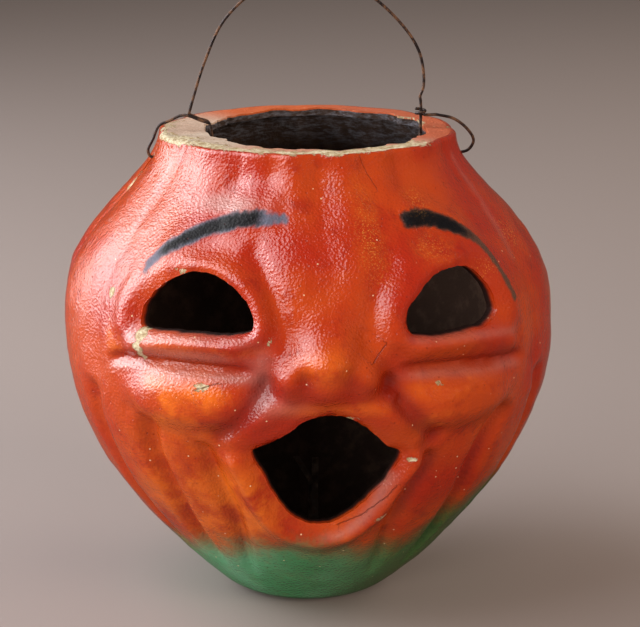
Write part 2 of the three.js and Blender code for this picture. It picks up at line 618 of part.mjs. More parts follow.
function bailPath() {
  const overRim = HEIGHT + RIM_CLEARANCE;
  const wall = crestRadius(wireHeight) - RIB_DEPTH_HIGH;
  const leftEdge = OPENING_SHIFT - OPENING_HALF_WIDTH + EDGE_CLEARANCE;
  const rightEdge = OPENING_SHIFT + OPENING_HALF_WIDTH - EDGE_CLEARANCE;
  const corner = RIM_RADIUS;

  // left end: the tail lies beside the standing wire's run over the flange
  const leftTail = [
    point(leftEdge - 1, -1.3, overRim + 0.2),
    point(leftEdge - 4, -1.3, overRim + 1.3),
    point(-BAIL_HALF_SPAN - 1, -1.2, overRim + 2.8),
    point(-BAIL_HALF_SPAN - 3.5, -0.4, overRim + 2.6),
  ];
  const leftLoop = [
    point(-corner + 4, 0, overRim + 0.9),
    point(-corner + 0.6, 0, overRim - 0.6),
    point(-corner - 1.6, 0, HEIGHT - 3),
    point(-wall - 1.9, 0, wireHeight + 2.2),
    point(-wall - 1, 0, wireHeight + 0.2),
    point(-wall + 3.5, 0, wireHeight),
    point(leftEdge - 8, 0, wireHeight),
    point(leftEdge - 1.5, 0, wireHeight + 1),
    point(leftEdge, 0, wireHeight + 4),
    point(leftEdge, 0.6, HEIGHT - 1),
    point(leftEdge - 1, 1.2, overRim + 0.2),
    point(leftEdge - 4, 1.2, overRim + 1.3),
  ];
  const arch = [
    point(-BAIL_HALF_SPAN - 0.5, 0.8, overRim + 3),
    point(-BAIL_HALF_SPAN + 0.8, 0, HEIGHT + 0.2 * BAIL_RISE),
    point(-0.87 * BAIL_HALF_SPAN, 0, HEIGHT + 0.46 * BAIL_RISE),
    point(-0.7 * BAIL_HALF_SPAN, 0, HEIGHT + 0.73 * BAIL_RISE),
    point(-0.4 * BAIL_HALF_SPAN, 0, HEIGHT + 0.93 * BAIL_RISE),
    point(0.05 * BAIL_HALF_SPAN, 0, HEIGHT + BAIL_RISE),
    point(0.45 * BAIL_HALF_SPAN, 0, HEIGHT + 0.92 * BAIL_RISE),
    point(0.78 * BAIL_HALF_SPAN, 0, HEIGHT + 0.71 * BAIL_RISE),
    point(0.96 * BAIL_HALF_SPAN, 0, HEIGHT + 0.5 * BAIL_RISE),
    point(BAIL_HALF_SPAN, 0, HEIGHT + 0.28 * BAIL_RISE),
  ];
  // right end: the loop stands off the wall, and the tail is wound round the standing wire
  const standX = rightEdge;
  const twistTop = overRim + 6;
  const rightLoop = [
    point(standX - 0.3, 0, twistTop + 2),
    point(standX, 0, twistTop),
    point(standX, 0, HEIGHT - 1),
    point(standX, 0, wireHeight + 4),
    point(standX + 1.5, 0, wireHeight + 1),
    point(standX + 6, 0, wireHeight),
    point(wall, 0, wireHeight),
    point(wall + 3.2, 0, wireHeight + 1),
    point(wall + 4.8, 0, wireHeight + 4),
    point(wall + 3, 0, HEIGHT - 1.5),
    point(wall - 2, 0, overRim + 0.3),
    point(wall - 8, 0, overRim + 1.8),
  ];
  // The tail winds upwards and ends against the standing wire
  const twist = steps(0, TWIST_TURNS, 1 / 12).map((turns) => point(
    standX + TWIST_RADIUS * cos(2 * PI * turns),
    TWIST_RADIUS * sin(2 * PI * turns),
    overRim + 1.6 + TWIST_PITCH * turns));
  return [
    ...run([...leftTail, ...leftLoop, arch[0]], 52).slice(0, -1),
    ...run([...arch, rightLoop[0]], 34).slice(0, -1),
    ...run(rightLoop, 36),
    ...twist.slice(1),
  ];
}

// Assembly

function piece(name, geometry, color, roughness, metalness = 0) {
  const material = new THREE.MeshStandardMaterial({ color, roughness, metalness });
  const mesh = new THREE.Mesh(geometry, material);
  mesh.name = name;
  return mesh;
}

const holder = candleHolder();
const brad = holderBrad();

const lantern = new THREE.Group();
lantern.add(piece('front_half', geometryOf(shellHalf('front')), 0xc8441e, 0.55));
lantern.add(piece('back_half', geometryOf(shellHalf('back')), 0xc24420, 0.6));
lantern.add(piece('seam_tape_left', wallTape(-1), 0x17130f, 0.9));
lantern.add(piece('seam_tape_right', wallTape(1), 0x17130f, 0.9));
lantern.add(piece('seam_tape_base', baseTape(), 0x17130f, 0.9));
lantern.add(piece('candle_holder', geometryOf(holder), 0x9a9388, 0.45, 0.8));
lantern.add(piece('holder_brad', geometryOf(brad), 0x8f7a4a, 0.4, 0.9));
lantern.add(piece('wire_bail', sweptBar(bailPath(), WIRE_RADIUS, 6), 0x2c231f, 0.5, 0.7));

export default lantern;
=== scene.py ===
import math

import bpy
import numpy as np
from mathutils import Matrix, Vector


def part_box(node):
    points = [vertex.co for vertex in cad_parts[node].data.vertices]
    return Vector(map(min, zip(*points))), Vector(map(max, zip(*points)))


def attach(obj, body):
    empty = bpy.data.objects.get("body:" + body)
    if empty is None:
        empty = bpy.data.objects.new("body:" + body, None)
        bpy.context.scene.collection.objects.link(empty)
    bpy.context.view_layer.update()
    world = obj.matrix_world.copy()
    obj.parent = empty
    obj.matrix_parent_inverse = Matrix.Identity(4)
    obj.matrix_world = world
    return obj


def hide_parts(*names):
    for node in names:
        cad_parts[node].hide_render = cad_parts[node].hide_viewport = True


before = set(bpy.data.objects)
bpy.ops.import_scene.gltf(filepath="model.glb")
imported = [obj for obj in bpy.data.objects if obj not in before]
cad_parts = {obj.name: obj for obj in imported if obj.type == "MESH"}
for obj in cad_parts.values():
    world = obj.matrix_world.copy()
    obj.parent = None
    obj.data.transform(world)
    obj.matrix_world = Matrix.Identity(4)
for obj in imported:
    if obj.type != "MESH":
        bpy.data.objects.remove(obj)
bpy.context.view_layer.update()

# The shell: two halves of moulded paper pulp, glued together at the sides, painted
# orange-red over a smooth gesso and sprayed green at the foot. The face, ribs and rim are
# moulded in, and the eyes and mouth are cut through.

# It is worked out in millimetres. A place on it is an angle round the axis, in degrees from
# the middle of the face, and a height.
MM = 0.001
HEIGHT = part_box("front_half")[1].z / MM
BELLY_RADIUS = 83.0
BELLY_HEIGHT = 94.0
FOOT_RADIUS = 26.0
RIM_RADIUS = 50.0
SHOULDER_POWER = 1.45
FOOT_ROUND = 4.0
RIM_ROUND = 1.4
WALL = 2.6
FLOOR_THICKNESS = 5.6
CEILING = HEIGHT - WALL
# millimetres in one degree, along the wall beside the eyes
DEGREE = math.radians(1) * (BELLY_RADIUS - 4)

OPENING_HALF_WIDTH = 37.5
OPENING_HALF_DEPTH = 41.0
OPENING_SHIFT = 3.0
FLANGE_REACH = 17.5

POCKET_AT = (3.0, 13.5)
POCKET_RADIUS = 5.2
POCKET_DEPTH = 3.0
WIRE_HOLE_HEIGHT = HEIGHT - 10.4
WIRE_HOLE_RADIUS = 2.2
TEAR_LENGTH = 4.5

RIB_COUNT = 12
RIB_DEPTH_HIGH = 1.6
RIB_DEPTH_LOW = 3.4

# rings lie closest together over the face
FACE_BOTTOM = 26.0
FACE_TOP = 148.0
RING_STEP = 0.95
RING_STEP_BELOW = 1.25
# between these heights, a place inside lies level with its place outside
LEVEL_FROM = 12.0
LEVEL_TO = 150.0
# the shell's three zones
FOOT, SIDE, FLANGE = 0, 1, 2


def smooth(low, high, value):
    """0 at low and 1 at high, with level ends, by 3t^2 - 2t^3. Either may be the larger."""
    share = np.clip((value - low) / (high - low), 0, 1)
    return share * share * (3 - 2 * share)


def lumps(x, y, z, size, seed):
    """Smooth random hills between -1 and 1: random values on a lattice of the given size,
    blended between its corners by 6t^5 - 15t^4 + 10t^3."""
    count, origin = 32, 1000.0
    table = np.random.RandomState(seed).uniform(-1, 1, (count, count, count))
    cells, shares = [], []
    for value in (x, y, z):
        place = value / size + origin
        cell = np.floor(place)
        share = place - cell
        cells.append(cell.astype(int))
        shares.append(share * share * share * (share * (share * 6 - 15) + 10))
    total = 0
    for corner in range(8):
        picks = [(corner >> axis) & 1 for axis in range(3)]
        weight = 1
        index = []
        for cell, share, pick in zip(cells, shares, picks):
            weight = weight * (share if pick else 1 - share)
            index.append((cell + pick) % count)
        total = total + weight * table[index[0], index[1], index[2]]
    return total


def wall_lumps(turn, z, size, seed):
    """The same hills on the unrolled wall."""
    return lumps(turn * DEGREE, z, 0 * z, size, seed)


def crest_radius(z):
    """The revolved profile over the rib crests: a parabola up to the belly, then a half
    cosine in to the rim."""
    below = FOOT_RADIUS + (BELLY_RADIUS - FOOT_RADIUS) * (1 - (1 - z / BELLY_HEIGHT) ** 2)
    up = np.clip((z - BELLY_HEIGHT) / (HEIGHT - BELLY_HEIGHT), 0, 1) ** SHOULDER_POWER
    above = BELLY_RADIUS - (BELLY_RADIUS - RIM_RADIUS) * (1 - np.cos(math.pi * up)) / 2
    return np.where(z < BELLY_HEIGHT, below, above)


def rounded_off(distance, radius):
    """What a round takes off the radius at a distance from the edge it rounds."""
    left = np.clip(radius - distance, 0, radius)
    return radius - np.sqrt(radius ** 2 - left ** 2)


def bump(turn, z, at, half_width, half_height, power=1.0):
    """A hill of height 1 at a place, falling off over the half sizes; flatter on top for a
    higher power."""
    reach = ((turn - at[0]) / half_width) ** 2 + ((z - at[1]) / half_height) ** 2
    return np.exp(-reach ** power)


def hills(forms, turn, z, power=1.0):
    """The sum of several bumps, each given as a height, a place and two half sizes."""
    return sum(height * bump(turn, z, at, *half, power) for height, at, *half in forms)


def along(line, turn, z):
    """Distance to a line of places in millimetres, the share of its length where it is
    nearest, and the side on which it passes."""
    line = np.asarray(line, float)
    lengths = np.hypot(np.diff(line[:, 0]) * DEGREE, np.diff(line[:, 1]))
    before = np.concatenate([[0], np.cumsum(lengths)])
    best = np.full(np.shape(turn), np.inf)
    share = np.zeros(np.shape(turn))
    side = np.ones(np.shape(turn))
    for start, end, length, passed in zip(line[:-1], line[1:], lengths, before):
        dx, dz = (end[0] - start[0]) * DEGREE, end[1] - start[1]
        px, pz = (turn - start[0]) * DEGREE, z - start[1]
        at = np.clip((px * dx + pz * dz) / length ** 2, 0, 1)
        distance = np.hypot(px - at * dx, pz - at * dz)
        nearer = distance < best
        best = np.where(nearer, distance, best)
        share = np.where(nearer, (passed + at * length) / before[-1], share)
        side = np.where(nearer, np.sign(dx * pz - dz * px), side)
    return best, share, side


def curve_through(p, steps):
    """Places on a cubic between each two of p, leaving out the first and last. At each of
    them the curve points the way its two neighbours lie."""
    t = np.linspace(0, 1, steps, endpoint=False)[:, None]
    return np.vstack([
        0.5 * (2 * b + (c - a) * t + (2 * a - 5 * b + 4 * c - d) * t ** 2
               + (3 * b - a - 3 * c + d) * t ** 3)
        for a, b, c, d in zip(p[:-3], p[1:-2], p[2:-1], p[3:])
    ])


def smooth_line(places, steps=6):
    """More places along a smooth curve through the ones given."""
    p = np.asarray(places, float)
    p = np.vstack([2 * p[0] - p[1], p, 2 * p[-1] - p[-2]])
    return np.vstack([curve_through(p, steps), p[-2:-1]])


def smooth_loop(places, steps=5):
    """The same, for an outline that closes on itself."""
    p = np.asarray(places, float)
    return curve_through(np.vstack([p[-1], p, p[0], p[1]]), steps)


def roll(line, half_width, turn, z):
    """A rounded ridge of height 1 that follows a line of places."""
    return np.exp(-(along(line, turn, z)[0] / half_width) ** 2)


def tapered_roll(line, half_width, turn, z, start=0.15, end=0.15):
    """A ridge that rises and dies away over the given shares of its length."""
    distance, share, _ = along(line, turn, z)
    fade = smooth(0, start, share) * smooth(1, 1 - end, share)
    return fade * np.exp(-(distance / half_width) ** 2)


def outside_of(loop, turn, z):
    """Distance to a closed outline in millimetres, negative inside it."""
    closed = np.vstack([loop, loop[:1]])
    distance = along(closed, turn, z)[0]
    crossings = np.zeros(np.shape(turn), int)
    for (t0, z0), (t1, z1) in zip(closed[:-1], closed[1:]):
        spans = (z0 > z) != (z1 > z)
        # the tiny term is for level edges, which nothing crosses
        where = t0 + (z - z0) / (z1 - z0 + 1e-12) * (t1 - t0)
        crossings += spans & (turn < where)
    return np.where(crossings % 2 == 1, -distance, distance)


EYE_LEFT = smooth_loop([
    (-44.6, 109.6), (-43.6, 116.0), (-39.8, 121.6), (-34.8, 124.9), (-29.3, 125.9),
    (-24.0, 124.3), (-19.8, 121.0), (-17.0, 116.8), (-15.9, 111.5), (-17.8, 109.3),
    (-22.7, 108.2), (-29.8, 107.9), (-37.4, 107.4), (-42.6, 107.2),
])
EYE_RIGHT = smooth_loop([
    (16.8, 110.9), (17.6, 115.5), (20.5, 119.4), (24.2, 122.9), (29.0, 125.3), (34.2, 125.7),
    (38.8, 123.6), (41.7, 119.4), (43.0, 114.4), (42.2, 109.8), (38.6, 107.4), (31.0, 106.7),
    (22.6, 106.9), (18.3, 108.3),
])
MOUTH = smooth_loop([
    (-17.5, 70.5), (-12.5, 74.2), (-8.4, 77.9), (-4.9, 81.7), (-0.8, 83.3), (3.6, 82.8),
    (6.5, 80.8), (10.3, 76.6), (13.9, 71.9), (17.7, 68.7), (15.5, 61.2), (13.0, 55.4),
    (9.2, 49.4), (4.4, 44.2), (-2.2, 42.1), (-8.3, 45.4), (-12.6, 53.0), (-15.4, 62.6),
])
BROW_LEFT = smooth_line([
    (-46.4, 125.4), (-43.8, 129.3), (-39.6, 133.3), (-34.7, 136.4), (-29.0, 138.9),
    (-23.0, 140.6), (-17.4, 141.2), (-10.9, 140.8),
])
BROW_RIGHT = smooth_line([
    (21.8, 138.7), (27.0, 139.6), (32.5, 139.0), (37.7, 136.9), (42.4, 133.6), (45.2, 129.2),
    (46.6, 123.0), (48.2, 113.6),
])
LID_CREASE_LEFT = smooth_line([
    (-22.5, 133.4), (-17.4, 129.4), (-12.8, 120.6), (-10.0, 111.2), (-8.8, 104.4),
    (-10.4, 98.2),
])
LID_CREASE_RIGHT = smooth_line([
    (19.4, 131.0), (14.0, 125.0), (10.4, 116.0), (8.8, 108.0), (9.4, 101.0),
])
BAG_LEFT = smooth_line([(-50, 99.6), (-41, 102.4), (-28, 103.6), (-14.5, 104.2)])
BAG_RIGHT = smooth_line([(14.6, 104.2), (28, 103.0), (41, 101.2), (50, 99.0)])
CREASE_LEFT = smooth_line([(-56, 93.2), (-50, 95.9), (-41, 97.6), (-28, 97.9), (-13.5, 97.2)])
CREASE_RIGHT = smooth_line([(13.0, 97.8), (25, 97.4), (38, 95.8), (47, 94.4), (54, 92.6)])
FOLD_LEFT = smooth_line([(-12.5, 98), (-14.4, 91.4), (-17.6, 84), (-22.2, 78), (-28, 74.4)])
FOLD_RIGHT = smooth_line([(12.4, 98.5), (13.8, 92), (17.0, 84.4), (21.8, 77), (28.5, 72.6)])
NOSE_SIDE_LEFT = smooth_line([
    (-12.4, 103.0), (-12.8, 96), (-11.2, 90.4), (-7.0, 87.2), (-2, 86.6),
])
NOSE_SIDE_RIGHT = smooth_line([
    (12.4, 103.0), (12.6, 96), (10.8, 90.6), (7.0, 87.2), (2, 86.6),
])
UPPER_LIP_LEFT = smooth_line([(-25, 70.6), (-20, 76), (-14.6, 82.4), (-9.4, 87.4), (-4, 89.6)])
UPPER_LIP_RIGHT = smooth_line([(4, 89.6), (9.6, 86.8), (14.6, 81.4), (19.4, 75.4), (24, 70.6)])
LOWER_LIP = smooth_line([
    (-23.0, 72.0), (-21.6, 68.0), (-19.8, 62.0), (-18.0, 53.5), (-15.4, 44.6), (-11.2, 38.4),
    (-5.8, 35.2), (0.0, 34.8), (5.6, 36.8), (10.6, 41.4), (14.2, 47.2), (16.8, 55.2),
    (19.2, 61.8), (21.6, 67.6), (23.2, 71.0),
])
GROOVES_BELOW = [smooth_line(line) for line in (
    [(-41.8, 79.5), (-43.6, 73), (-44.2, 67), (-43.6, 59), (-42.6, 50), (-43, 41), (-43, 31),
     (-42, 22), (-41, 12)],
    [(-29.8, 74), (-28.5, 66), (-27.2, 58), (-25.8, 50), (-25.4, 42), (-26.4, 32), (-28.4, 23),
     (-29.5, 12)],
    [(-63, 86), (-64, 73), (-63.5, 58), (-62.5, 42), (-61.5, 28), (-60, 12)],
    [(25.4, 70), (24, 61.5), (22.2, 55.6), (21, 49.8), (20.6, 43.5), (20.6, 36.9), (22, 28),
     (26, 12)],
    [(48, 80), (44.8, 72.5), (42, 65), (41, 57.8), (41, 50), (41.2, 43), (42, 35), (42, 22),
     (41, 12)],
    [(64, 88), (64, 73), (63.5, 58), (62.5, 42), (61.5, 28), (60, 12)],
)]
GROOVE_DEPTHS = (4.2, 3.6, 2.8, 3.2, 4.2, 2.8)
CRACKS = [smooth_line(line) for line in (
    [(3.5, 42.0), (9.8, 46.6), (14.2, 53.2), (16.6, 58.8)],
    [(12.4, 106.9), (10.7, 103.4), (8.5, 100.5)],
    [(14.8, 158.3), (16.6, 153.9), (19.6, 147.9)],
    [(-28.6, 91.4), (-26, 92.6), (-22.8, 94.2)],
)]


def rib_groove(turn, z):
    """Depth below the crests: rounded ribs with narrow grooves between them. They fade on
    the face and give way to its own grooves below the cheeks."""
    low = smooth(76, 56, z)
    depth = RIB_DEPTH_HIGH + (RIB_DEPTH_LOW - RIB_DEPTH_HIGH) * low
    on_face = smooth(60, 48, np.abs(turn)) * smooth(60, 76, z) * smooth(141, 128, z)
    on_jaw = smooth(78, 66, np.abs(turn)) * smooth(92, 78, z)
    on_brow = 0.7 * smooth(32, 22, np.abs(turn)) * smooth(120, 128, z)
    section = 1 - np.abs(np.sin(np.radians(RIB_COUNT * turn / 2))) ** 0.8
    clear = (1 - 0.85 * on_face) * (1 - on_jaw) * (1 - on_brow)
    return depth * section * clear * smooth(0, 12, z)


def lids(turn, z):
    """Each upper lid rises from its eye to a roll and falls away outside it. The roll lies
    close to the eye by the nose and farther out at the temple, over a slope turned inwards."""
    total = 0
    for eye, side in ((EYE_LEFT, -1), (EYE_RIGHT, 1)):
        away = outside_of(eye, turn, z)
        temple = smooth(31, 47, side * turn)
        by_nose = smooth(29, 19, turn) * smooth(8, 14, turn)
        crest = 2.3 + 3.6 * temple
        low, high = 1.0 - 2.6 * temple, 3.2 - 1.4 * temple
        rising = low + (high - low) * smooth(-0.4, 1.0, away / crest)
        falling = high * np.exp(-((away - crest) / (2.7 + 4 * temple + 4.2 * by_nose)) ** 2)
        above = smooth(99.5, 107.5, z) * smooth(56, 50, side * turn)
        total = total + np.where(away < crest, rising, falling) * above
    return total


def forehead_wave(turn, z):
    """Two ridges run down the forehead to the nose, with a groove between and beside them:
    a cosine of the angle, narrower further down."""
    spread = turn / (9.3 * (0.5 + 0.5 * smooth(112, 133, z)))
    fade = smooth(2.5, 1.7, np.abs(spread)) * smooth(112, 126, z)
    return -np.cos(math.pi * spread) * fade


def broad_relief(turn, z):
    """Nose and cheeks, which the inside of the shell follows too."""
    bridge = bump(turn, z, (0, 108), 5.5, 11, 2)
    nose = 6.5 * bump(turn, z, (-0.3, 97.6), 9.4, 10.4, 1.4) + 2.0 * bridge
    cheeks = 5.5 * (bump(turn, z, (-31, 86.2), 15, 9, 1.8)
                    + bump(turn, z, (30.5, 84.8), 15.5, 9, 1.8))
    jaw = 0
    for line, depth in zip(GROOVES_BELOW, GROOVE_DEPTHS):
        jaw = jaw + depth * tapered_roll(line, 3.7, turn, z, 0.08, 0.3)
    return nose + cheeks - jaw


def fine_relief(turn, z):
    """Brows, lids, bags under the eyes, creases, nostrils and lips, on the outside only."""
    lift = np.array([0, 1.5])
    brows = 2.4 * (tapered_roll(BROW_LEFT + lift, 5, turn, z)
                   + tapered_roll(BROW_RIGHT + lift, 5, turn, z, 0.15, 0.5))
    # a hollow in the forehead above the inner part of each
    lift = np.array([0, 10.5])
    brows = brows - 1.2 * (tapered_roll(BROW_LEFT[12:] + lift, 4, turn, z, 0.3, 0.3)
                           + tapered_roll(BROW_RIGHT[:30] + lift, 4, turn, z, 0.3, 0.3))
    creases = (1.8 * tapered_roll(LID_CREASE_LEFT, 2.6, turn, z)
               + 1.0 * tapered_roll(LID_CREASE_RIGHT, 3.2, turn, z))
    bags = 3.0 * (tapered_roll(BAG_LEFT, 3.7, turn, z) + tapered_roll(BAG_RIGHT, 3.7, turn, z))
    creases = creases + 2.0 * (tapered_roll(CREASE_LEFT, 1.6, turn, z)
                               + tapered_roll(CREASE_RIGHT, 1.6, turn, z))
    folds = 2.6 * (tapered_roll(FOLD_LEFT, 3.0, turn, z)
                   + tapered_roll(FOLD_RIGHT, 3.0, turn, z))
    tip = 2.8 * bump(turn, z, (-0.6, 101.0), 5.2, 6.4, 1.1)
    septum = 1.6 * bump(turn, z, (-1.0, 92.0), 3.4, 4.6)
    wings = (3.6 * bump(turn, z, (-8.6, 95.6), 2.9, 6.4, 1.2)
             + 2.8 * bump(turn, z, (8.0, 95.6), 3.1, 6.2, 1.2))
    nostrils = hills([(2.2, (-5.0, 97.4), 1.9, 2.8), (1.4, (4.4, 98.6), 2.4, 2.8)], turn, z)
    knob = 2.2 * bump(turn, z, (13.6, 89.6), 1.4, 2.0, 1.6)
    under_nose = 1.4 * (tapered_roll(NOSE_SIDE_LEFT, 2.4, turn, z, 0.3, 0.6)
                        + tapered_roll(NOSE_SIDE_RIGHT, 2.4, turn, z, 0.3, 0.6))
    cut_edge = 1.3 * smooth(2.4, 0, np.abs(outside_of(MOUTH, turn, z)))
    lips = (4.6 * tapered_roll(LOWER_LIP, 3.7, turn, z, 0.07, 0.07)
            + 2.6 * tapered_roll(UPPER_LIP_LEFT, 4.6, turn, z, 0.2, 0.25)
            + 2.6 * tapered_roll(UPPER_LIP_RIGHT, 4.6, turn, z, 0.25, 0.2))
    return (brows + lids(turn, z) + bags - creases - folds + tip + septum + wings - nostrils
            + knob - under_nose + lips - cut_edge + 0.65 * forehead_wave(turn, z))


def unevenness(turn, z, radius):
    """Hand-moulded dents and the rough skin of the pulp."""
    angle = np.radians(turn)
    x, y = radius * np.sin(angle), -radius * np.cos(angle)
    return (0.55 * lumps(x, y, z, 27, 1) + 0.30 * lumps(x, y, z, 9, 2)
            + 0.15 * lumps(x, y, z, 3.6, 3))


def outside_radius(turn, z):
    """The profile over the crests, less the grooves, plus the relief and the roundings."""
    crest = crest_radius(z)
    return (crest - rib_groove(turn, z) + broad_relief(turn, z) + fine_relief(turn, z)
            + unevenness(turn, z, crest) * smooth(0, 6, z)
            - rounded_off(z, FOOT_ROUND) - rounded_off(HEIGHT - z, RIM_ROUND))


def inside_radius(turn, z):
    """The wall's thickness in from the broad forms, measured across the profile's slope. The
    inside follows the dents of the fine relief but not its ridges."""
    slope = crest_radius(z + 1) - crest_radius(z)
    dents = np.minimum(fine_relief(turn, z), 0)
    clear = 1.2
    return (crest_radius(z) - rib_groove(turn, z) + broad_relief(turn, z) + dents - clear
            - WALL * np.sqrt(1 + slope ** 2))


def material_left(turn, z, inset, zone):
    """Millimetres of pulp left before the nearest opening, negative inside an opening."""
    angle = np.radians(turn)
    ragged = 0.28 * wall_lumps(turn, z, 3.0, 5) + 0.14 * wall_lumps(turn, z, 1.3, 6)
    face = np.minimum(outside_of(EYE_LEFT, turn, z), outside_of(EYE_RIGHT, turn, z))
    face = np.minimum(face, outside_of(MOUTH, turn, z)) + ragged
    sideways = crest_radius(z) * np.cos(angle)
    # the left wire hole is torn downwards
    below = np.clip(WIRE_HOLE_HEIGHT - z, 0, np.where(np.sin(angle) < 0, TEAR_LENGTH, 0))
    hole = np.hypot(sideways * (1 + 0.08 * below), z + below - WIRE_HOLE_HEIGHT)
    hole = hole - WIRE_HOLE_RADIUS + 0.8 * ragged
    side = np.minimum(face, hole)
    radius = RIM_RADIUS - RIM_ROUND - inset
    x, y = radius * np.sin(angle), -radius * np.cos(angle)
    around = np.arctan2(y, x - OPENING_SHIFT)
    edge = 1 / np.hypot(np.cos(around) / OPENING_HALF_WIDTH, np.sin(around) / OPENING_HALF_DEPTH)
    torn = 0.6 * lumps(x, y, 0 * x, 7, 8) + 0.65 * lumps(x, y, 0 * x, 2.4, 9)
    rim = np.hypot(x - OPENING_SHIFT, y) - edge + torn
    far = 50.0
    return np.where(zone == FLANGE, rim, np.where(zone == SIDE, side, far))


def shell_rows():
    """Height, inset from the wall and zone of each ring, from the middle of the foot up to
    the inner edge of the flange."""
    foot = [(0, inset, FOOT) for inset in np.linspace(FOOT_RADIUS - FOOT_ROUND, 0, 18)[:-1]]
    bends = np.radians(np.linspace(0, 90, 7))
    foot_round = [(FOOT_ROUND * (1 - math.cos(a)), 0, SIDE) for a in bends[:-1]]
    wall = [(z, 0, SIDE) for z in np.concatenate([
        np.arange(FOOT_ROUND, FACE_BOTTOM, RING_STEP_BELOW),
        np.arange(FACE_BOTTOM, FACE_TOP, RING_STEP),
        np.linspace(FACE_TOP, HEIGHT - RIM_ROUND, 8)])]
    rim_round = [(HEIGHT - RIM_ROUND * (1 - math.sin(a)), 0, SIDE) for a in bends[1:]]
    flange = [(HEIGHT, inset, FLANGE) for inset in np.linspace(0, FLANGE_REACH, 16)[1:]]
    rows = np.array(foot + foot_round + wall + rim_round + flange)
    return rows[:, 0], rows[:, 1], rows[:, 2].astype(int)


def skin_points(turn, z, inset, zone):
    """Outer and inner points of the shell: each radius turned round the axis. The floor has
    a pocket underneath, and the flange is a little uneven."""
    angle = np.radians(turn)
    outer_radius = outside_radius(turn, z) - inset
    x, y = outer_radius * np.sin(angle), -outer_radius * np.cos(angle)
    in_pocket = smooth(0.35, -0.35, np.hypot(x - POCKET_AT[0], y - POCKET_AT[1]) - POCKET_RADIUS)
    waves = 0.35 * lumps(x, y, 0 * x, 8, 11) + 0.15 * lumps(x, y, 0 * x, 2.5, 12)
    outer_z = np.where(zone == FOOT, POCKET_DEPTH * in_pocket, z)
    outer_z = outer_z + np.where(zone == FLANGE, waves, 0) * smooth(0, 2, inset)
    low = FLOOR_THICKNESS + (LEVEL_FROM - FLOOR_THICKNESS) * z / LEVEL_FROM
    high = LEVEL_TO + (z - LEVEL_TO) * (CEILING - LEVEL_TO) / (HEIGHT - LEVEL_TO)
    inner_z = np.where(z < LEVEL_FROM, low, np.where(z > LEVEL_TO, high, z))
    inner_radius = np.where(
        zone == FOOT, outer_radius * 1.2,
        np.where(zone == FLANGE, outer_radius, inside_radius(turn, inner_z)))
    outer = np.stack([x, y, outer_z], -1)
    inner = np.stack([inner_radius * np.sin(angle), -inner_radius * np.cos(angle), inner_z], -1)
    return outer, inner


def shell_half(name, turns):
    """One half of the shell as a closed mesh: an outer and an inner skin on the same grid,
    with the cells inside openings left out, the edges of the rest moved onto the outlines,
    and walls between the two skins along every edge."""
    row_z, row_inset, row_zone = shell_rows()
    shape = (len(row_z), len(turns))
    turn = np.broadcast_to(turns, shape).copy()
    z = np.repeat(row_z[:, None], len(turns), 1)
    inset = np.repeat(row_inset[:, None], len(turns), 1)
    zone = np.repeat(row_zone[:, None], len(turns), 1)
    left = material_left(turn, z, inset, zone)
    index = np.arange(left.size).reshape(shape)
    index[0, :] = 0
    quads = np.stack([index[:-1, :-1], index[:-1, 1:], index[1:, 1:], index[1:, :-1]], -1)
    kept = (left[:-1, :-1] + left[:-1, 1:] + left[1:, 1:] + left[1:, :-1]) > 0
    # vertices on the border between kept and left-out cells move onto the outline
    used = np.zeros(shape, bool)
    dropped = np.zeros(shape, bool)
    firsts, lasts = slice(None, -1), slice(1, None)
    for rows in (firsts, lasts):
        for columns in (firsts, lasts):
            used[rows, columns] |= kept
            dropped[rows, columns] |= ~kept
    border = used & dropped
    ends = np.zeros(shape, bool)
    ends[:, 0] = ends[:, -1] = True
    probe, farthest = 0.05, 0.8
    for _ in range(3):
        t, h, i, k = turn[border], z[border], inset[border], zone[border]
        d = material_left(t, h, i, k)
        scale = np.where(k == FLANGE, np.radians(1) * (RIM_RADIUS - RIM_ROUND - i), DEGREE)
        across = (material_left(t + probe / scale, h, i, k) - d) / probe
        up = np.where(k == FLANGE, material_left(t, h, i + probe, k) - d,
                      material_left(t, h + probe, i, k) - d) / probe
        size = np.maximum(across ** 2 + up ** 2, 0.25)
        limit = np.clip(-d, -farthest, farthest)
        sideways = np.where(ends[border], 0, limit * across / size / scale)
        turn[border] = t + sideways
        inset[border] = i + np.where(k == FLANGE, limit * up / size, 0)
        z[border] = h + np.where(k == FLANGE, 0, limit * up / size)
    outer, inner = skin_points(turn, z, inset, zone)
    faces = quads[kept]
    return make_shell_mesh(name, faces, outer.reshape(-1, 3), inner.reshape(-1, 3),
                           turn.ravel(), z.ravel(), inset.ravel(), zone.ravel())


# A cut through the wall has two rings between its skins, at these shares of the thickness.
# The black of the inside reaches them by these shares: at the face, and at the rim in front
# and behind.
CUT_RINGS = (0.3, 0.68)
BLACK_AT_FACE = (0.6, 0.9)
BLACK_IN_FRONT = (0.45, 0.7)
BLACK_BEHIND = (0.95, 1.0)
SHARP_ANGLE = math.radians(48)


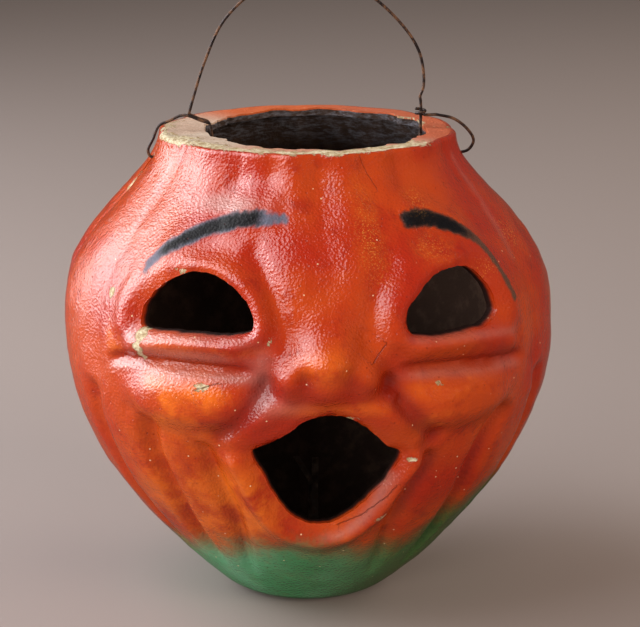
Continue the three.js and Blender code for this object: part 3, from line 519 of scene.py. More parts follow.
def make_shell_mesh(name, faces, outer, inner, turn, z, inset, zone):
    """Joins the outer skin, the inner one turned round, and walls between them along every
    edge that only one face has. The paint masks go onto the points."""
    count = len(outer)
    edges = np.stack([faces, np.roll(faces, -1, axis=1)], -1).reshape(-1, 2)
    edges = edges[edges[:, 0] != edges[:, 1]]
    forward = edges[:, 0] * count + edges[:, 1]
    backward = edges[:, 1] * count + edges[:, 0]
    edge = edges[~np.isin(forward, backward)]
    on_edge = np.unique(edge)
    place = np.full(count, -1)
    place[on_edge] = np.arange(len(on_edge))
    seam = np.abs(np.abs(((turn[on_edge] + 180) % 360) - 180) - 90) < 1e-6
    rings = []
    for step, share in enumerate(CUT_RINGS):
        # uneven, so that the cut looks torn, but flat at the seam
        ring = outer[on_edge] * (1 - share) + inner[on_edge] * share
        push = np.where(seam, 0, 0.16 * lumps(*ring.T, 1.7, 20 + step))[:, None]
        outward = ring * np.array([1, 1, 0])
        reach = np.maximum(np.linalg.norm(outward, axis=1), 1e-9)[:, None]
        rings.append(ring + push * outward / reach)
    levels = [edge] + [2 * count + step * len(on_edge) + place[edge] for step in range(2)]
    levels.append(edge + count)
    walls = np.vstack([
        np.stack([high[:, 1], high[:, 0], low[:, 0], low[:, 1]], -1)
        for high, low in zip(levels[:-1], levels[1:])
    ])
    everything = np.vstack([faces, faces[:, ::-1] + count, walls])
    points = np.vstack([outer, inner] + rings)
    used = np.unique(everything)
    rename = np.full(len(points), -1)
    rename[used] = np.arange(len(used))
    # a face at the middle of the foot names that point twice
    corners = [[c for n, c in enumerate(face) if c != face[n - 1]]
               for face in rename[everything].tolist()]
    mesh = bpy.data.meshes.new(name)
    mesh.from_pydata((points[used] * MM).tolist(), [], corners)
    mesh.shade_smooth()
    mesh.set_sharp_from_angle(angle=SHARP_ANGLE)
    on_rim = zone[on_edge] == FLANGE
    behind = np.cos(np.radians(turn[on_edge])) < -0.1
    black = [np.where(on_rim, np.where(behind, at_back, in_front), at_face)
             for at_face, in_front, at_back in zip(BLACK_AT_FACE, BLACK_IN_FRONT, BLACK_BEHIND)]
    source = np.concatenate([np.arange(count), np.arange(count), on_edge, on_edge])
    masks = {mask: values[source]
             for mask, values in paint_masks(turn, z, inset, zone).items()}
    masks["inside"] = np.concatenate([np.zeros(count), np.ones(count), *black])
    masks["cut"] = np.concatenate([np.zeros(2 * count), np.tile(~on_rim * 1.0, 2)])
    for mask, values in masks.items():
        layer = mesh.attributes.new(mask, "FLOAT", "POINT")
        layer.data.foreach_set("value", values[used].astype(np.float32))
    piece = bpy.data.objects.new(name, mesh)
    bpy.context.scene.collection.objects.link(piece)
    return piece


# the green reaches up to these heights, at these angles
GREEN_EDGE = [(-90, 26), (-60, 25), (-30, 28), (-7, 33), (14, 30), (30, 30), (38, 38), (54, 45),
              (90, 46), (180, 34), (270, 26)]
# a painted highlight runs along this rib at each temple
RIB_HIGHLIGHT_BESIDE_BROW = smooth_line([(58, 124), (61, 133), (64, 143), (65, 152)])
# strength, place and half sizes of each patch. The amber is partly the paint's own and partly
# a painted highlight on the raised cheeks, nose, bags and lips and on the lower left.
AMBER_HIGHLIGHT_PATCHES = [
    (1.0, (-38.4, 87), 6, 8), (0.9, (-25.6, 90.5), 6, 5), (0.6, (-0.8, 101), 5, 5),
    (0.55, (25.5, 91), 8, 4), (0.6, (23.7, 79), 5, 5), (0.8, (-52.5, 100.7), 3.5, 5),
    (0.35, (30, 131), 7, 4), (0.35, (-33, 80), 12, 7), (0.3, (14, 140), 5, 14),
    (0.75, (-34, 44), 26, 26), (0.7, (-21, 50), 6, 14), (0.5, (-27, 104), 12, 2.4),
    (0.5, (2, 86), 12, 3), (0.3, (10, 36), 14, 10),
]
# patches where painted glints of gold sparkle on the upper right of the face
GLINT_PATCHES = [
    (1.0, (29.1, 131.5), 4, 3), (1.0, (42, 123.6), 3.4, 3), (1.0, (31.7, 144), 4, 3),
    (1.0, (12.4, 135), 3.4, 12), (1.0, (64, 129), 6, 5),
]
# place and half sizes of each chip
CHIPS = [
    ((-42.4, 105.6), 1.5, 2.0), ((-42.7, 102.0), 1.3, 2.2), ((-42.8, 98.6), 1.2, 1.6),
    ((-35.9, 125.4), 1.2, 0.9), ((4.4, 82.2), 1.9, 0.8), ((15.2, 45.4), 2.0, 1.3),
    ((19.4, 67.0), 0.6, 0.35), ((-56.4, 115.2), 1.2, 2.2), ((-26.2, 92.4), 1.8, 1.1),
    ((23.8, 92.4), 0.6, 0.5), ((-12.6, 107.0), 0.6, 1.5),
]
# the place where the wire has torn the paint off below the left hole
TORN_AT = (-90.0, 145.5)
TORN_HALF_LENGTH = 5.0
# the wall is worn no farther below the rim than this
RIM_BAND = 12.0
# a distance that stands for no edge in reach
NOWHERE_NEAR = 9.0


def brow_masks(turn, z):
    """The black of both brows, the blue under the left one, and the grey under the right one,
    which shows as its tail: 1 within a half width of the brow's line, and soft at its edge."""
    feather = 0.35 * wall_lumps(turn, z, 1.6, 33)
    d, share, _ = along(BROW_LEFT, turn, z)
    half = 1.9 + 0.7 * smooth(0.05, 0.45, share) + 0.3 * smooth(0.5, 0.8, share)
    left_black = smooth(half + 1.2, half - 2.0, d + feather)
    left_black = left_black * smooth(0.0, 0.16, share) * smooth(0.92, 0.74, share)
    half = 2.2 + 0.5 * smooth(0.1, 0.4, share) - 1.0 * smooth(0.8, 0.95, share)
    left_blue = smooth(half + 1.5, half - 1.5, d + 1.6 * feather)
    d, share, _ = along(BROW_RIGHT, turn, z)
    half = 2.4 + 0.3 * smooth(0, 0.2, share) - 1.2 * smooth(0.35, 0.9, share)
    right_grey = smooth(half + 1.2, half - 1.7, d + feather) * smooth(0.0, 0.1, share)
    return np.maximum(left_black, right_grey * smooth(0.75, 0.45, share)), left_blue, right_grey


def green_spray(turn, z):
    """1 at the foot and 0 at the face, with a soft and wavy edge between them."""
    wave = 3.5 * wall_lumps(turn, z, 30, 31) + 1.5 * wall_lumps(turn, z, 9, 32)
    high = np.interp(turn, *np.transpose(GREEN_EDGE))
    return smooth(high + 12, high - 11, z + wave)


def grey_dust_and_sheen(turn, z):
    """Grey dust and painted sheen: over the left brow, a painted highlight on a rib at each
    temple, painted sheen along the bags, below the creases under the eyes and on the lower
    lip towards the mouth, and grey beside the nose."""
    dust_and_sheen = 0.95 * bump(turn, z, (-29, 143.8), 12, 2.6, 1.3)
    for side, strength in ((-1, 0.5), (1, 0.25)):
        dust_and_sheen = dust_and_sheen + strength * roll(RIB_HIGHLIGHT_BESIDE_BROW * np.array([side, 1]), 2.0, turn, z)
    for line, lift, width, strength in (
            (CREASE_LEFT, -2.4, 1.5, 0.6), (CREASE_RIGHT, -2.4, 1.5, 0.35),
            (BAG_LEFT, 3.4, 1.3, 0.5), (BAG_RIGHT, 3.4, 1.3, 0.3)):
        dust_and_sheen = dust_and_sheen + strength * tapered_roll(line + np.array([0, lift]), width, turn, z)
    # the right half of the lower lip, towards the mouth: a painted sheen
    lip_sheen = LOWER_LIP[-48:-12] * np.array([0.86, 1]) + np.array([0, 2.6])
    dust_and_sheen = dust_and_sheen + 0.5 * tapered_roll(lip_sheen, 1.6, turn, z, 0.25, 0.1)
    dust_and_sheen = dust_and_sheen + 0.4 * bump(turn, z, (-32, 101.8), 15, 2.2, 1.5)
    return dust_and_sheen + hills([(0.4, (-14.5, 97), 2.6, 9), (0.35, (-10, 87), 5, 3)], turn, z)


def painted_crease_shade(turn, z):
    """Painted shade in dark red: in the creases under the eyes, the folds, the nostrils and
    above the upper lip.
    """
    crease_shade = (0.8 * tapered_roll(CREASE_LEFT + np.array([0, 1.4]), 1.7, turn, z)
            + tapered_roll(CREASE_RIGHT + np.array([0, 1.4]), 1.9, turn, z)
            + tapered_roll(FOLD_LEFT, 3, turn, z) + tapered_roll(FOLD_RIGHT, 3, turn, z)
            + hills([(0.9, (-4.7, 95.6), 2, 3), (0.9, (4.2, 96.2), 2, 3)], turn, z))
    for line in (UPPER_LIP_LEFT, UPPER_LIP_RIGHT):
        crease_shade = crease_shade + 0.5 * tapered_roll(line + np.array([0, 5.4]), 2.2, turn, z)
    return crease_shade


def chipped(turn, z):
    """Millimetres inside the edge of the chips and of the torn place under the left wire
    hole, negative outside."""
    inside = np.full(turn.shape, -NOWHERE_NEAR)
    for at, w, h in CHIPS:
        reach = np.hypot((turn - at[0]) / w, (z - at[1]) / h)
        inside = np.maximum(inside, (1 - reach) * min(w * DEGREE, h))
    side = ((turn + 180) % 360) - 180
    above = np.maximum(np.abs(z - TORN_AT[1]) - TORN_HALF_LENGTH, 0)
    torn = 1.3 - 0.55 * np.hypot((side - TORN_AT[0]) * DEGREE, above * 1.6)
    return np.maximum(inside, torn)


def rim_wear(turn, z, inset, zone, left):
    """Millimetres inside the edge of the bare pulp along the rim, and how grey and how pink
    the flange is. It is worn most in front and at the left, and pink at the right."""
    side = ((turn + 180) % 360) - 180
    front = smooth(86, 62, np.abs(side)) * smooth(66, 46, side)
    sides = smooth(60, 84, np.abs(side)) * smooth(150, 118, np.abs(side))
    left_edge = 1.6 * smooth(-54, -64, side) * smooth(-98, -86, side)
    on_wall = 0.75 * front + 0.5 * sides + left_edge - 0.8 - (HEIGHT - z)
    on_flange = front * 2.5 + sides * np.where(side < 0, 1.6, 0.6) - 1.4 - 0.16 * inset
    fibres = smooth(88, 98, side) * smooth(140, 122, side)
    by_opening = 1.5 * fibres + 0.5 * front - 1.2 - 0.5 * left
    bare = np.where(zone == FLANGE, np.maximum(on_flange, by_opening),
                    np.where(z > HEIGHT - RIM_BAND, on_wall, -NOWHERE_NEAR))
    grey = smooth(-20, -60, side) * smooth(-150, -112, side) + 0.5 * front
    pink = smooth(30, 64, side) * smooth(185, 150, side)
    return bare, grey, pink


def hairline_cracks(turn, z):
    """Millimetres to the nearest crack, negative on one side of it."""
    nearest = np.full(turn.shape, NOWHERE_NEAR)
    for line in CRACKS:
        d, share, passing = along(line, turn, z)
        signed = np.where((share > 0) & (share < 1), d * passing, d + 1)
        nearest = np.where(np.abs(signed) < np.abs(nearest), signed, nearest)
    return nearest


def paint_masks(turn, z, inset, zone):
    """Where each colour lies on the shell: 0 to 1 for paint, wear and painted light and shade,
    and millimetres from the edge for bare pulp and cracks."""
    wall, flange = zone == SIDE, zone == FLANGE
    left = material_left(turn, z, inset, zone)
    black, blue, grey = brow_masks(turn, z)
    bare, worn, salmon = rim_wear(turn, z, inset, zone, left)
    return {
        "brow": black * wall,
        "brow_end": blue * wall,
        "brow_tail": grey * wall,
        "green": green_spray(turn, z),
        # grey dust and painted sheen
        "dust_and_sheen": np.clip(grey_dust_and_sheen(turn, z), 0, 1) * wall,
        # amber, partly the paint's own and partly painted highlight
        "amber_highlight": np.clip(hills(AMBER_HIGHLIGHT_PATCHES, turn, z, 1.4), 0, 1) * wall,
        # painted glints
        "glint": np.clip(hills(GLINT_PATCHES, turn, z), 0, 1) * wall,
        # painted shade in the creases, folds and nostrils
        "crease_shade": np.clip(painted_crease_shade(turn, z), 0, 1) * wall,
        "chip": np.where(zone == FOOT, -NOWHERE_NEAR, np.maximum(chipped(turn, z), bare)),
        "crack": np.where(wall, hairline_cracks(turn, z), NOWHERE_NEAR),
        "near_cut": smooth(4, 1, left) * wall,
        "flange": flange * 1.0,
        "worn": worn * flange,
        "salmon": salmon * flange,
        "scuffed": smooth(140, 150, z),
    }


def srgb(red, green, blue):
    """A colour as it is seen, 0 to 255, as the linear value that shaders take."""
    linear = [((c / 255 + 0.055) / 1.055) ** 2.4 if c > 10 else c / 255 / 12.92
              for c in (red, green, blue)]
    return (*linear, 1.0)


class Shader:
    """A material being built: each method adds nodes and returns an output socket."""

    def __init__(self, name):
        self.material = bpy.data.materials.new(name)
        self.material.use_nodes = True
        self.tree = self.material.node_tree
        self.surface = self.tree.nodes["Principled BSDF"]
        self.place = self.tree.nodes.new("ShaderNodeTexCoord").outputs["Object"]

    def node(self, kind, inputs=None, **settings):
        """A node with its settings, and its inputs by name or number."""
        made = self.tree.nodes.new(kind)
        for key, value in settings.items():
            setattr(made, key, value)
        for key, value in (inputs or {}).items():
            self.put(value, made.inputs[key])
        return made

    def put(self, value, socket):
        """A link where the value is a socket, and else a fixed value."""
        if isinstance(value, bpy.types.NodeSocket):
            self.tree.links.new(value, socket)
        else:
            socket.default_value = value

    def give(self, name, value):
        """One input of the finished surface."""
        self.put(value, self.surface.inputs[name])

    def mask(self, name):
        """One of the masks that the piece's points carry."""
        return self.node("ShaderNodeAttribute", attribute_name=name).outputs["Fac"]

    def noise(self, scale, detail=3.0, roughness=0.5, stretch=(1, 1, 1)):
        """Clouds with this many to a metre, from 0 to 1."""
        mapped = self.node("ShaderNodeMapping", {"Vector": self.place, "Scale": stretch})
        return self.node("ShaderNodeTexNoise", {
            "Vector": mapped.outputs[0], "Scale": scale, "Detail": detail,
            "Roughness": roughness}).outputs["Fac"]

    def cells(self, scale):
        """Cells with this many to a metre: the distance from each one's middle, and colour."""
        return self.node("ShaderNodeTexVoronoi", {"Vector": self.place, "Scale": scale}).outputs

    def dots(self, scale, edge, few, colour_part):
        """Round dots, soft between two distances, in the few cells whose random colour has a
        part above a share."""
        cells = self.cells(scale)
        chance = self.node("ShaderNodeSeparateColor", {0: cells["Color"]}).outputs[colour_part]
        return self.times(self.between(cells["Distance"], *edge), self.between(chance, *few))

    def math(self, operation, first, second=0.0, clamp=False):
        """One operation on two values, such as ADD, held between 0 and 1 where asked."""
        made = self.node("ShaderNodeMath", {0: first, 1: second}, operation=operation)
        made.use_clamp = clamp
        return made.outputs[0]

    def times(self, first, second):
        """The product of two values."""
        return self.math("MULTIPLY", first, second)

    def ragged(self, value, noise, amount):
        """A value moved up or down by a noise, by half the amount at most."""
        return self.math("ADD", value, self.times(self.math("SUBTRACT", noise, 0.5), amount))

    def between(self, value, low, high):
        """0 at low and 1 at high, smoothly."""
        made = self.node("ShaderNodeMapRange", {
            "Value": value, "From Min": low, "From Max": high}, interpolation_type="SMOOTHSTEP")
        return made.outputs["Result"]

    def over(self, below, above, share, strength=None):
        """One colour painted over another by a share, and less by a strength."""
        made = self.node("ShaderNodeMix", data_type="RGBA")
        self.put(share if strength is None else self.times(share, strength), made.inputs[0])
        self.put(below, made.inputs[6])
        self.put(above, made.inputs[7])
        return made.outputs[2]

    def bumps(self, height, distance, below=None, strength=1.0):
        """A relief of this height in metres on top of the one below."""
        made = self.node("ShaderNodeBump", {"Height": height, "Distance": distance,
                                            "Strength": strength})
        if below is not None:
            self.put(below, made.inputs["Normal"])
        return made.outputs["Normal"]


ORANGE_RED = srgb(142, 30, 8)
BURNT_ORANGE = srgb(156, 54, 12)
DARK_RED = srgb(124, 18, 8)
# painted shade in the creases, folds and nostrils
CREASE_SHADE_RED = srgb(104, 12, 10)
# amber, partly the paint's own and partly painted highlight
AMBER_HIGHLIGHT = srgb(200, 98, 22)
# painted glints
GLINT_GOLD = srgb(200, 140, 60)
# grey dust and painted sheen
DUST_AND_SHEEN_GREY = srgb(150, 110, 104)
FLANGE_TAN = srgb(168, 84, 46)
SALMON = srgb(150, 78, 56)
WORN_PALE = srgb(170, 156, 142)
WORN_BROWN = srgb(156, 132, 114)
# the green as lit at the left, and darker by painted shade at the right
GREEN_LIT_LEFT = srgb(60, 128, 86)
PALE_GREEN_LIT_LEFT = srgb(84, 144, 110)
GREEN_SHADED_RIGHT = srgb(42, 66, 32)
PALE_GREEN_SHADED_RIGHT = srgb(52, 82, 44)
GREEN_BLEND = srgb(96, 48, 16)
BROW_BLACK = srgb(14, 13, 16)
BROW_BLUE = srgb(54, 84, 102)
BROW_GREY = srgb(56, 52, 42)
SPECK_CREAM = srgb(206, 180, 146)
# painted shade in the pits
PIT_SHADE_RED = srgb(96, 26, 18)
CRACK_BROWN = srgb(60, 16, 10)
PULP_CREAM = srgb(188, 178, 152)
PULP_TAN = srgb(138, 116, 84)
PULP_BROWN = srgb(92, 72, 46)
INSIDE_DARK = srgb(66, 51, 44)
INSIDE_PALE = srgb(90, 70, 60)
INSIDE_SOOT = srgb(40, 34, 32)
SCRATCH_GREY = srgb(104, 106, 116)
CUT_BLACK = srgb(30, 18, 16)


def painted_pulp(name):
    """Orange-red paint over gesso on paper pulp: mottled, speckled and pitted, with sprayed
    green, black and grey, cream pulp in the chips and flat black inside, and painted shade,
    highlights, sheen and glints."""
    coat = Shader(name)
    broad = coat.noise(28, 3)
    middle = coat.noise(130, 4, 0.6)
    fine = coat.noise(620, 3, 0.6)
    grain = coat.noise(1900, 2, 0.6)

    # the red, its clouds of dark red, amber that is partly painted highlight, painted shade in the
    # creases, grey dust with painted sheen, and the flange
    colour = coat.over(ORANGE_RED, BURNT_ORANGE, coat.between(broad, 0.35, 0.65))
    colour = coat.over(colour, DARK_RED, coat.between(middle, 0.52, 0.75), 0.6)
    # amber, partly a painted highlight on the raised forms and the lower left
    cloud = coat.between(coat.noise(75, 4, 0.65), 0.36, 0.62)
    colour = coat.over(colour, AMBER_HIGHLIGHT, coat.times(coat.mask("amber_highlight"), cloud), 0.8)
    # painted shade in the creases, folds and nostrils
    colour = coat.over(colour, CREASE_SHADE_RED, coat.mask("crease_shade"), 0.65)
    # grey dust and painted sheen on the upper slopes of the face
    dust_and_sheen = coat.times(coat.mask("dust_and_sheen"), coat.between(middle, 0.1, 0.55))
    colour = coat.over(colour, DUST_AND_SHEEN_GREY, dust_and_sheen, 0.8)
    flange = coat.mask("flange")
    colour = coat.over(colour, FLANGE_TAN, flange, 0.85)
    colour = coat.over(colour, SALMON, coat.mask("salmon"), 0.7)
    colour = coat.over(colour, coat.over(WORN_PALE, WORN_BROWN, middle), coat.mask("worn"), 0.9)

    # the sprayed green, with painted shade darkening it towards the right, and the brows
    across = coat.node("ShaderNodeSeparateXYZ", {0: coat.place}).outputs[0]
    right = coat.between(across, -0.035, 0.035)
    green = coat.over(coat.over(GREEN_LIT_LEFT, GREEN_SHADED_RIGHT, right),
                      coat.over(PALE_GREEN_LIT_LEFT, PALE_GREEN_SHADED_RIGHT, right),
                      coat.between(broad, 0.4, 0.6))
    cover = coat.ragged(coat.ragged(coat.mask("green"), fine, 0.45), middle, 0.45)
    colour = coat.over(colour, GREEN_BLEND, coat.between(cover, 0.0, 0.5), 0.5)
    colour = coat.over(colour, green, coat.between(cover, 0.1, 1.05))
    brow, brow_end = coat.mask("brow"), coat.mask("brow_end")
    blue = coat.ragged(coat.ragged(brow_end, fine, 0.6), middle, 0.6)
    colour = coat.over(colour, BROW_BLUE, coat.between(blue, 0.25, 1.0), 0.85)
    grey = coat.ragged(coat.mask("brow_tail"), fine, 0.5)
    colour = coat.over(colour, BROW_GREY, coat.between(grey, 0.25, 0.8), 0.85)
    black = coat.ragged(brow, fine, 0.5)
    colour = coat.over(colour, BROW_BLACK, coat.between(black, 0.15, 0.95))

    # specks, painted glints, pits darkened by painted shade, chips and cracks
    colour = coat.over(colour, SPECK_CREAM, coat.dots(420.0, (0.15, 0.07), (0.91, 0.93), 0), 0.8)
    # painted glints of gold, in patches
    painted_glint = coat.times(coat.mask("glint"), coat.between(grain, 0.54, 0.66))
    colour = coat.over(colour, GLINT_GOLD, painted_glint, 0.45)
    # each pit is darkened with painted shade
    pit = coat.dots(520.0, (0.2, 0.08), (0.8, 0.84), 1)
    colour = coat.over(colour, PIT_SHADE_RED, pit, 0.35)
    torn = coat.mask("chip")
    for noise, amount in ((middle, 3.4), (fine, 2.6), (grain, 1.8)):
        torn = coat.ragged(torn, noise, amount)
    bare = coat.between(torn, 0.0, 0.25)
    pulp = coat.over(PULP_CREAM, PULP_TAN, coat.between(fine, 0.42, 0.66))
    pulp = coat.over(pulp, PULP_BROWN, coat.between(grain, 0.5, 0.64), 0.6)
    colour = coat.over(colour, pulp, bare)
    away = coat.math("ABSOLUTE", coat.ragged(coat.mask("crack"), fine, 0.9))
    crack = coat.between(away, 0.24, 0.08)
    colour = coat.over(colour, CRACK_BROWN, crack, 0.5)

    # the black inside, scuffed and scratched below the rim, and the dark cut edges
    soot = coat.over(INSIDE_DARK, INSIDE_PALE, coat.between(middle, 0.45, 0.7))
    scuffed = coat.mask("scuffed")
    scratch = coat.times(scuffed, coat.between(coat.noise(260, 4, 0.7, (1, 1, 3)), 0.4, 0.7))
    soot = coat.over(soot, INSIDE_SOOT, scuffed, 0.7)
    soot = coat.over(soot, SCRATCH_GREY, scratch, 0.55)
    soot = coat.over(soot, CUT_BLACK, coat.math("MAXIMUM", coat.mask("cut"), coat.mask("near_cut")))
    inside = coat.mask("inside")
    coat.give("Base Color", coat.over(colour, soot, coat.between(inside, 0.5, 0.9)))

    # the paint shines; brows, bare pulp, flange and inside are flat
    rough = coat.math("ADD", 0.06, coat.times(fine, 0.2))
    shine = 0.72
    sprayed = coat.math("MAXIMUM", brow, brow_end)
    for part, roughness, loss in (
            (sprayed, 0.55, 0.55), (bare, 0.85, 0.6), (inside, 0.8, 0.68), (flange, 0.6, 0.5)):
        rough = coat.math("MAXIMUM", rough, coat.times(part, roughness))
        shine = coat.math("SUBTRACT", shine, coat.times(part, loss), clamp=True)
    coat.give("Roughness", rough)
    coat.give("Specular IOR Level", shine)
    relief = coat.bumps(middle, 0.0006, strength=0.4)
    for height, distance, strength in (
            (coat.cells(1100.0)["Distance"], 0.00024, 0.7), (fine, 0.00027, 0.75),
            (grain, 0.0001, 0.9), (coat.times(pit, -1.0), 0.0003, 0.6),
            (coat.times(bare, -1.0), 0.0004, 0.8), (coat.times(crack, -1.0), 0.0004, 0.8)):
        relief = coat.bumps(height, distance, relief, strength)
    coat.give("Normal", relief)
    return coat.material


# the angles at which points stand, closest together over the face
FACE_COLUMNS = np.concatenate([
    np.linspace(-90, -58, 29), np.linspace(-58, 58, 165)[1:], np.linspace(58, 90, 29)[1:]])
BACK_COLUMNS = np.linspace(90, 270, 161)
paint = painted_pulp("painted_pulp")
front = shell_half("front_shell", FACE_COLUMNS)
back = shell_half("back_shell", BACK_COLUMNS)
for half, node in ((front, "front_half"), (back, "back_half")):
    half.data.materials.append(paint)
    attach(half, "shell")
    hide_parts(node)

# The bail: one iron wire, blackened and rusting. Each end runs over the flange and down
# inside, out through a hole in the wall, and back up over the rim to the standing wire: the
# left one lies beside it, and the right one is wound round it.
WIRE_RADIUS = 0.5
WIRE_HEIGHT = HEIGHT - 9
BAIL_RISE = 50.0
BAIL_HALF_SPAN = 39.0
OVER_RIM = HEIGHT + 2.2
LEFT_EDGE = OPENING_SHIFT - OPENING_HALF_WIDTH + 2.4
RIGHT_EDGE = OPENING_SHIFT + OPENING_HALF_WIDTH - 2.4
TWIST_RADIUS = 1.5
TWIST_PITCH = 1.5
TWIST_TURNS = 1.5


def wire_run(places, steps):
    """A smooth curve through places: a cubic between each two, whose end directions weigh
    the neighbouring spans by the square roots of their lengths."""
    p = np.asarray(places, float)
    p = np.vstack([2 * p[0] - p[1], p, 2 * p[-1] - p[-2]])
    spans = np.sqrt(np.linalg.norm(np.diff(p, axis=0), axis=1))[:, None]
    before, here, after = spans[:-2], spans[1:-1], spans[2:]
    a, b, c, d = p[:-3], p[1:-2], p[2:-1], p[3:]
    leaving = ((b - a) / before - (c - a) / (before + here) + (c - b) / here) * here
    arriving = ((c - b) / here - (d - b) / (here + after) + (d - c) / after) * here
    t = np.linspace(0, 1, steps, endpoint=False)[None, :, None]
    start, leaving, end, arriving = (v[:, None, :] for v in (b, leaving, c, arriving))
    curve = (start + leaving * t + (3 * (end - start) - 2 * leaving - arriving) * t ** 2
             + (2 * (start - end) + leaving + arriving) * t ** 3)
    return np.vstack([curve.reshape(-1, 3), p[-2:-1]])


def bail_path():
    """The wire's centre line, from the left tail to the end of the twist."""
    wall = float(crest_radius(WIRE_HEIGHT)) - RIB_DEPTH_HIGH
    rise = [HEIGHT + share * BAIL_RISE
            for share in (0.2, 0.46, 0.73, 0.93, 1, 0.92, 0.71, 0.5, 0.28)]
    left = [
        (LEFT_EDGE - 1, -1.3, OVER_RIM + 0.2), (LEFT_EDGE - 4, -1.3, OVER_RIM + 1.3),
        (-BAIL_HALF_SPAN - 1, -1.2, OVER_RIM + 2.8),
        (-BAIL_HALF_SPAN - 3.5, -0.4, OVER_RIM + 2.6),
        (-RIM_RADIUS + 4, 0, OVER_RIM + 0.9), (-RIM_RADIUS + 0.6, 0, OVER_RIM - 0.6),
        (-RIM_RADIUS - 1.6, 0, HEIGHT - 3), (-wall - 1.9, 0, WIRE_HEIGHT + 2.2),
        (-wall - 1, 0, WIRE_HEIGHT + 0.2), (-wall + 3.5, 0, WIRE_HEIGHT),
        (LEFT_EDGE - 8, 0, WIRE_HEIGHT), (LEFT_EDGE - 1.5, 0, WIRE_HEIGHT + 1),
        (LEFT_EDGE, 0, WIRE_HEIGHT + 4), (LEFT_EDGE, 0.6, HEIGHT - 1),
        (LEFT_EDGE - 1, 1.2, OVER_RIM + 0.2), (LEFT_EDGE - 4, 1.2, OVER_RIM + 1.3),
        (-BAIL_HALF_SPAN - 0.5, 0.8, OVER_RIM + 3),
    ]
    across = (-BAIL_HALF_SPAN + 0.8, *(BAIL_HALF_SPAN * share for share in (
        -0.87, -0.7, -0.4, 0.05, 0.45, 0.78, 0.96, 1)))
    arch = [left[-1], *((x, 0, z) for x, z in zip(across, rise)),
            (RIGHT_EDGE - 0.3, 0, OVER_RIM + 8)]
    right = [
        arch[-1], (RIGHT_EDGE, 0, OVER_RIM + 6), (RIGHT_EDGE, 0, HEIGHT - 1),
        (RIGHT_EDGE, 0, WIRE_HEIGHT + 4), (RIGHT_EDGE + 1.5, 0, WIRE_HEIGHT + 1),
        (RIGHT_EDGE + 6, 0, WIRE_HEIGHT), (wall, 0, WIRE_HEIGHT), (wall + 3.2, 0, WIRE_HEIGHT + 1),
        (wall + 4.8, 0, WIRE_HEIGHT + 4), (wall + 3, 0, HEIGHT - 1.5),
        (wall - 2, 0, OVER_RIM + 0.3), (wall - 8, 0, OVER_RIM + 1.8),
    ]
    turns = np.linspace(0, TWIST_TURNS, 49)[:-1] * 2 * math.pi
    twist = np.stack([
        RIGHT_EDGE + TWIST_RADIUS * np.cos(turns), TWIST_RADIUS * np.sin(turns),
        OVER_RIM + 1.6 + TWIST_PITCH * turns / (2 * math.pi)], -1)
    return np.vstack([
        wire_run(left, 9)[:-1], wire_run(arch, 12)[:-1], wire_run(right, 9), twist[1:]])


def swept_wire(name, path, radius, sides=14):
    """A tube: a circle carried along the path, turned as little as possible from each place
    to the next, and closed by rounded ends."""
    along_path = np.gradient(path, axis=0)
    along_path /= np.linalg.norm(along_path, axis=1)[:, None]
    across = np.zeros_like(path)
    side = np.array([0.0, 1.0, 0.0])
    for i, direction in enumerate(along_path):
        side = side - direction * side.dot(direction)
        side /= np.linalg.norm(side)
        across[i] = side
    other = np.cross(along_path, across)
    # the end rings shrink on a quarter circle, which rounds the cut ends
    bend = np.radians([75.0, 50.0, 25.0])
    reach, width = radius * np.sin(bend), radius * np.cos(bend)
    first = [(path[0] - along_path[0] * r, w, 0) for r, w in zip(reach, width)]
    last = [(path[-1] + along_path[-1] * r, w, -1) for r, w in zip(reach[::-1], width[::-1])]
    centres = np.vstack([[c for c, _, _ in first], path, [c for c, _, _ in last]])
    widths = np.concatenate([width, np.full(len(path), radius), width[::-1]])
    frames = [0] * 3 + list(range(len(path))) + [-1] * 3
    turn = np.linspace(0, 2 * math.pi, sides, endpoint=False)
    circle = np.cos(turn)[None, :, None] * across[frames][:, None, :]
    circle = circle + np.sin(turn)[None, :, None] * other[frames][:, None, :]
    points = (centres[:, None, :] + widths[:, None, None] * circle).reshape(-1, 3)
    ring = np.arange(len(centres) * sides).reshape(-1, sides)
    after = np.roll(ring, -1, axis=1)
    quads = np.stack([ring[:-1], after[:-1], after[1:], ring[1:]], -1).reshape(-1, 4)
    faces = quads.tolist() + [ring[0][::-1].tolist(), ring[-1].tolist()]
    mesh = bpy.data.meshes.new(name)
    mesh.from_pydata((points * MM).tolist(), [], faces)
    mesh.shade_smooth()
    wire = bpy.data.objects.new(name, mesh)
    bpy.context.scene.collection.objects.link(wire)
    return wire


def iron_wire():
    """Blackened iron with brown rust in patches and a fine drawn grain."""
    iron = Shader("iron_wire")
    rust = iron.between(iron.noise(340, 4, 0.65), 0.42, 0.62)
    fine = iron.noise(2600, 3, 0.6)
    colour = iron.over(srgb(58, 50, 50), srgb(96, 66, 46), rust)
    colour = iron.over(colour, srgb(26, 22, 22), iron.between(fine, 0.5, 0.7))
    iron.give("Base Color", colour)
    iron.give("Metallic", iron.math("SUBTRACT", 0.75, iron.times(rust, 0.6)))
    iron.give("Roughness", iron.math("ADD", 0.42, iron.times(rust, 0.3)))
    iron.give("Normal", iron.bumps(fine, 0.0001, strength=0.8))
    return iron.material


bail = swept_wire("bail", bail_path(), WIRE_RADIUS)
bail.data.materials.append(iron_wire())
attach(bail, "bail")
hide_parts("wire_bail")

# The candle holder and its brad: a strip of thin tin bent up into two arms, dulled and
# rusty under old soot, and fixed through the foot by a split brass brad.


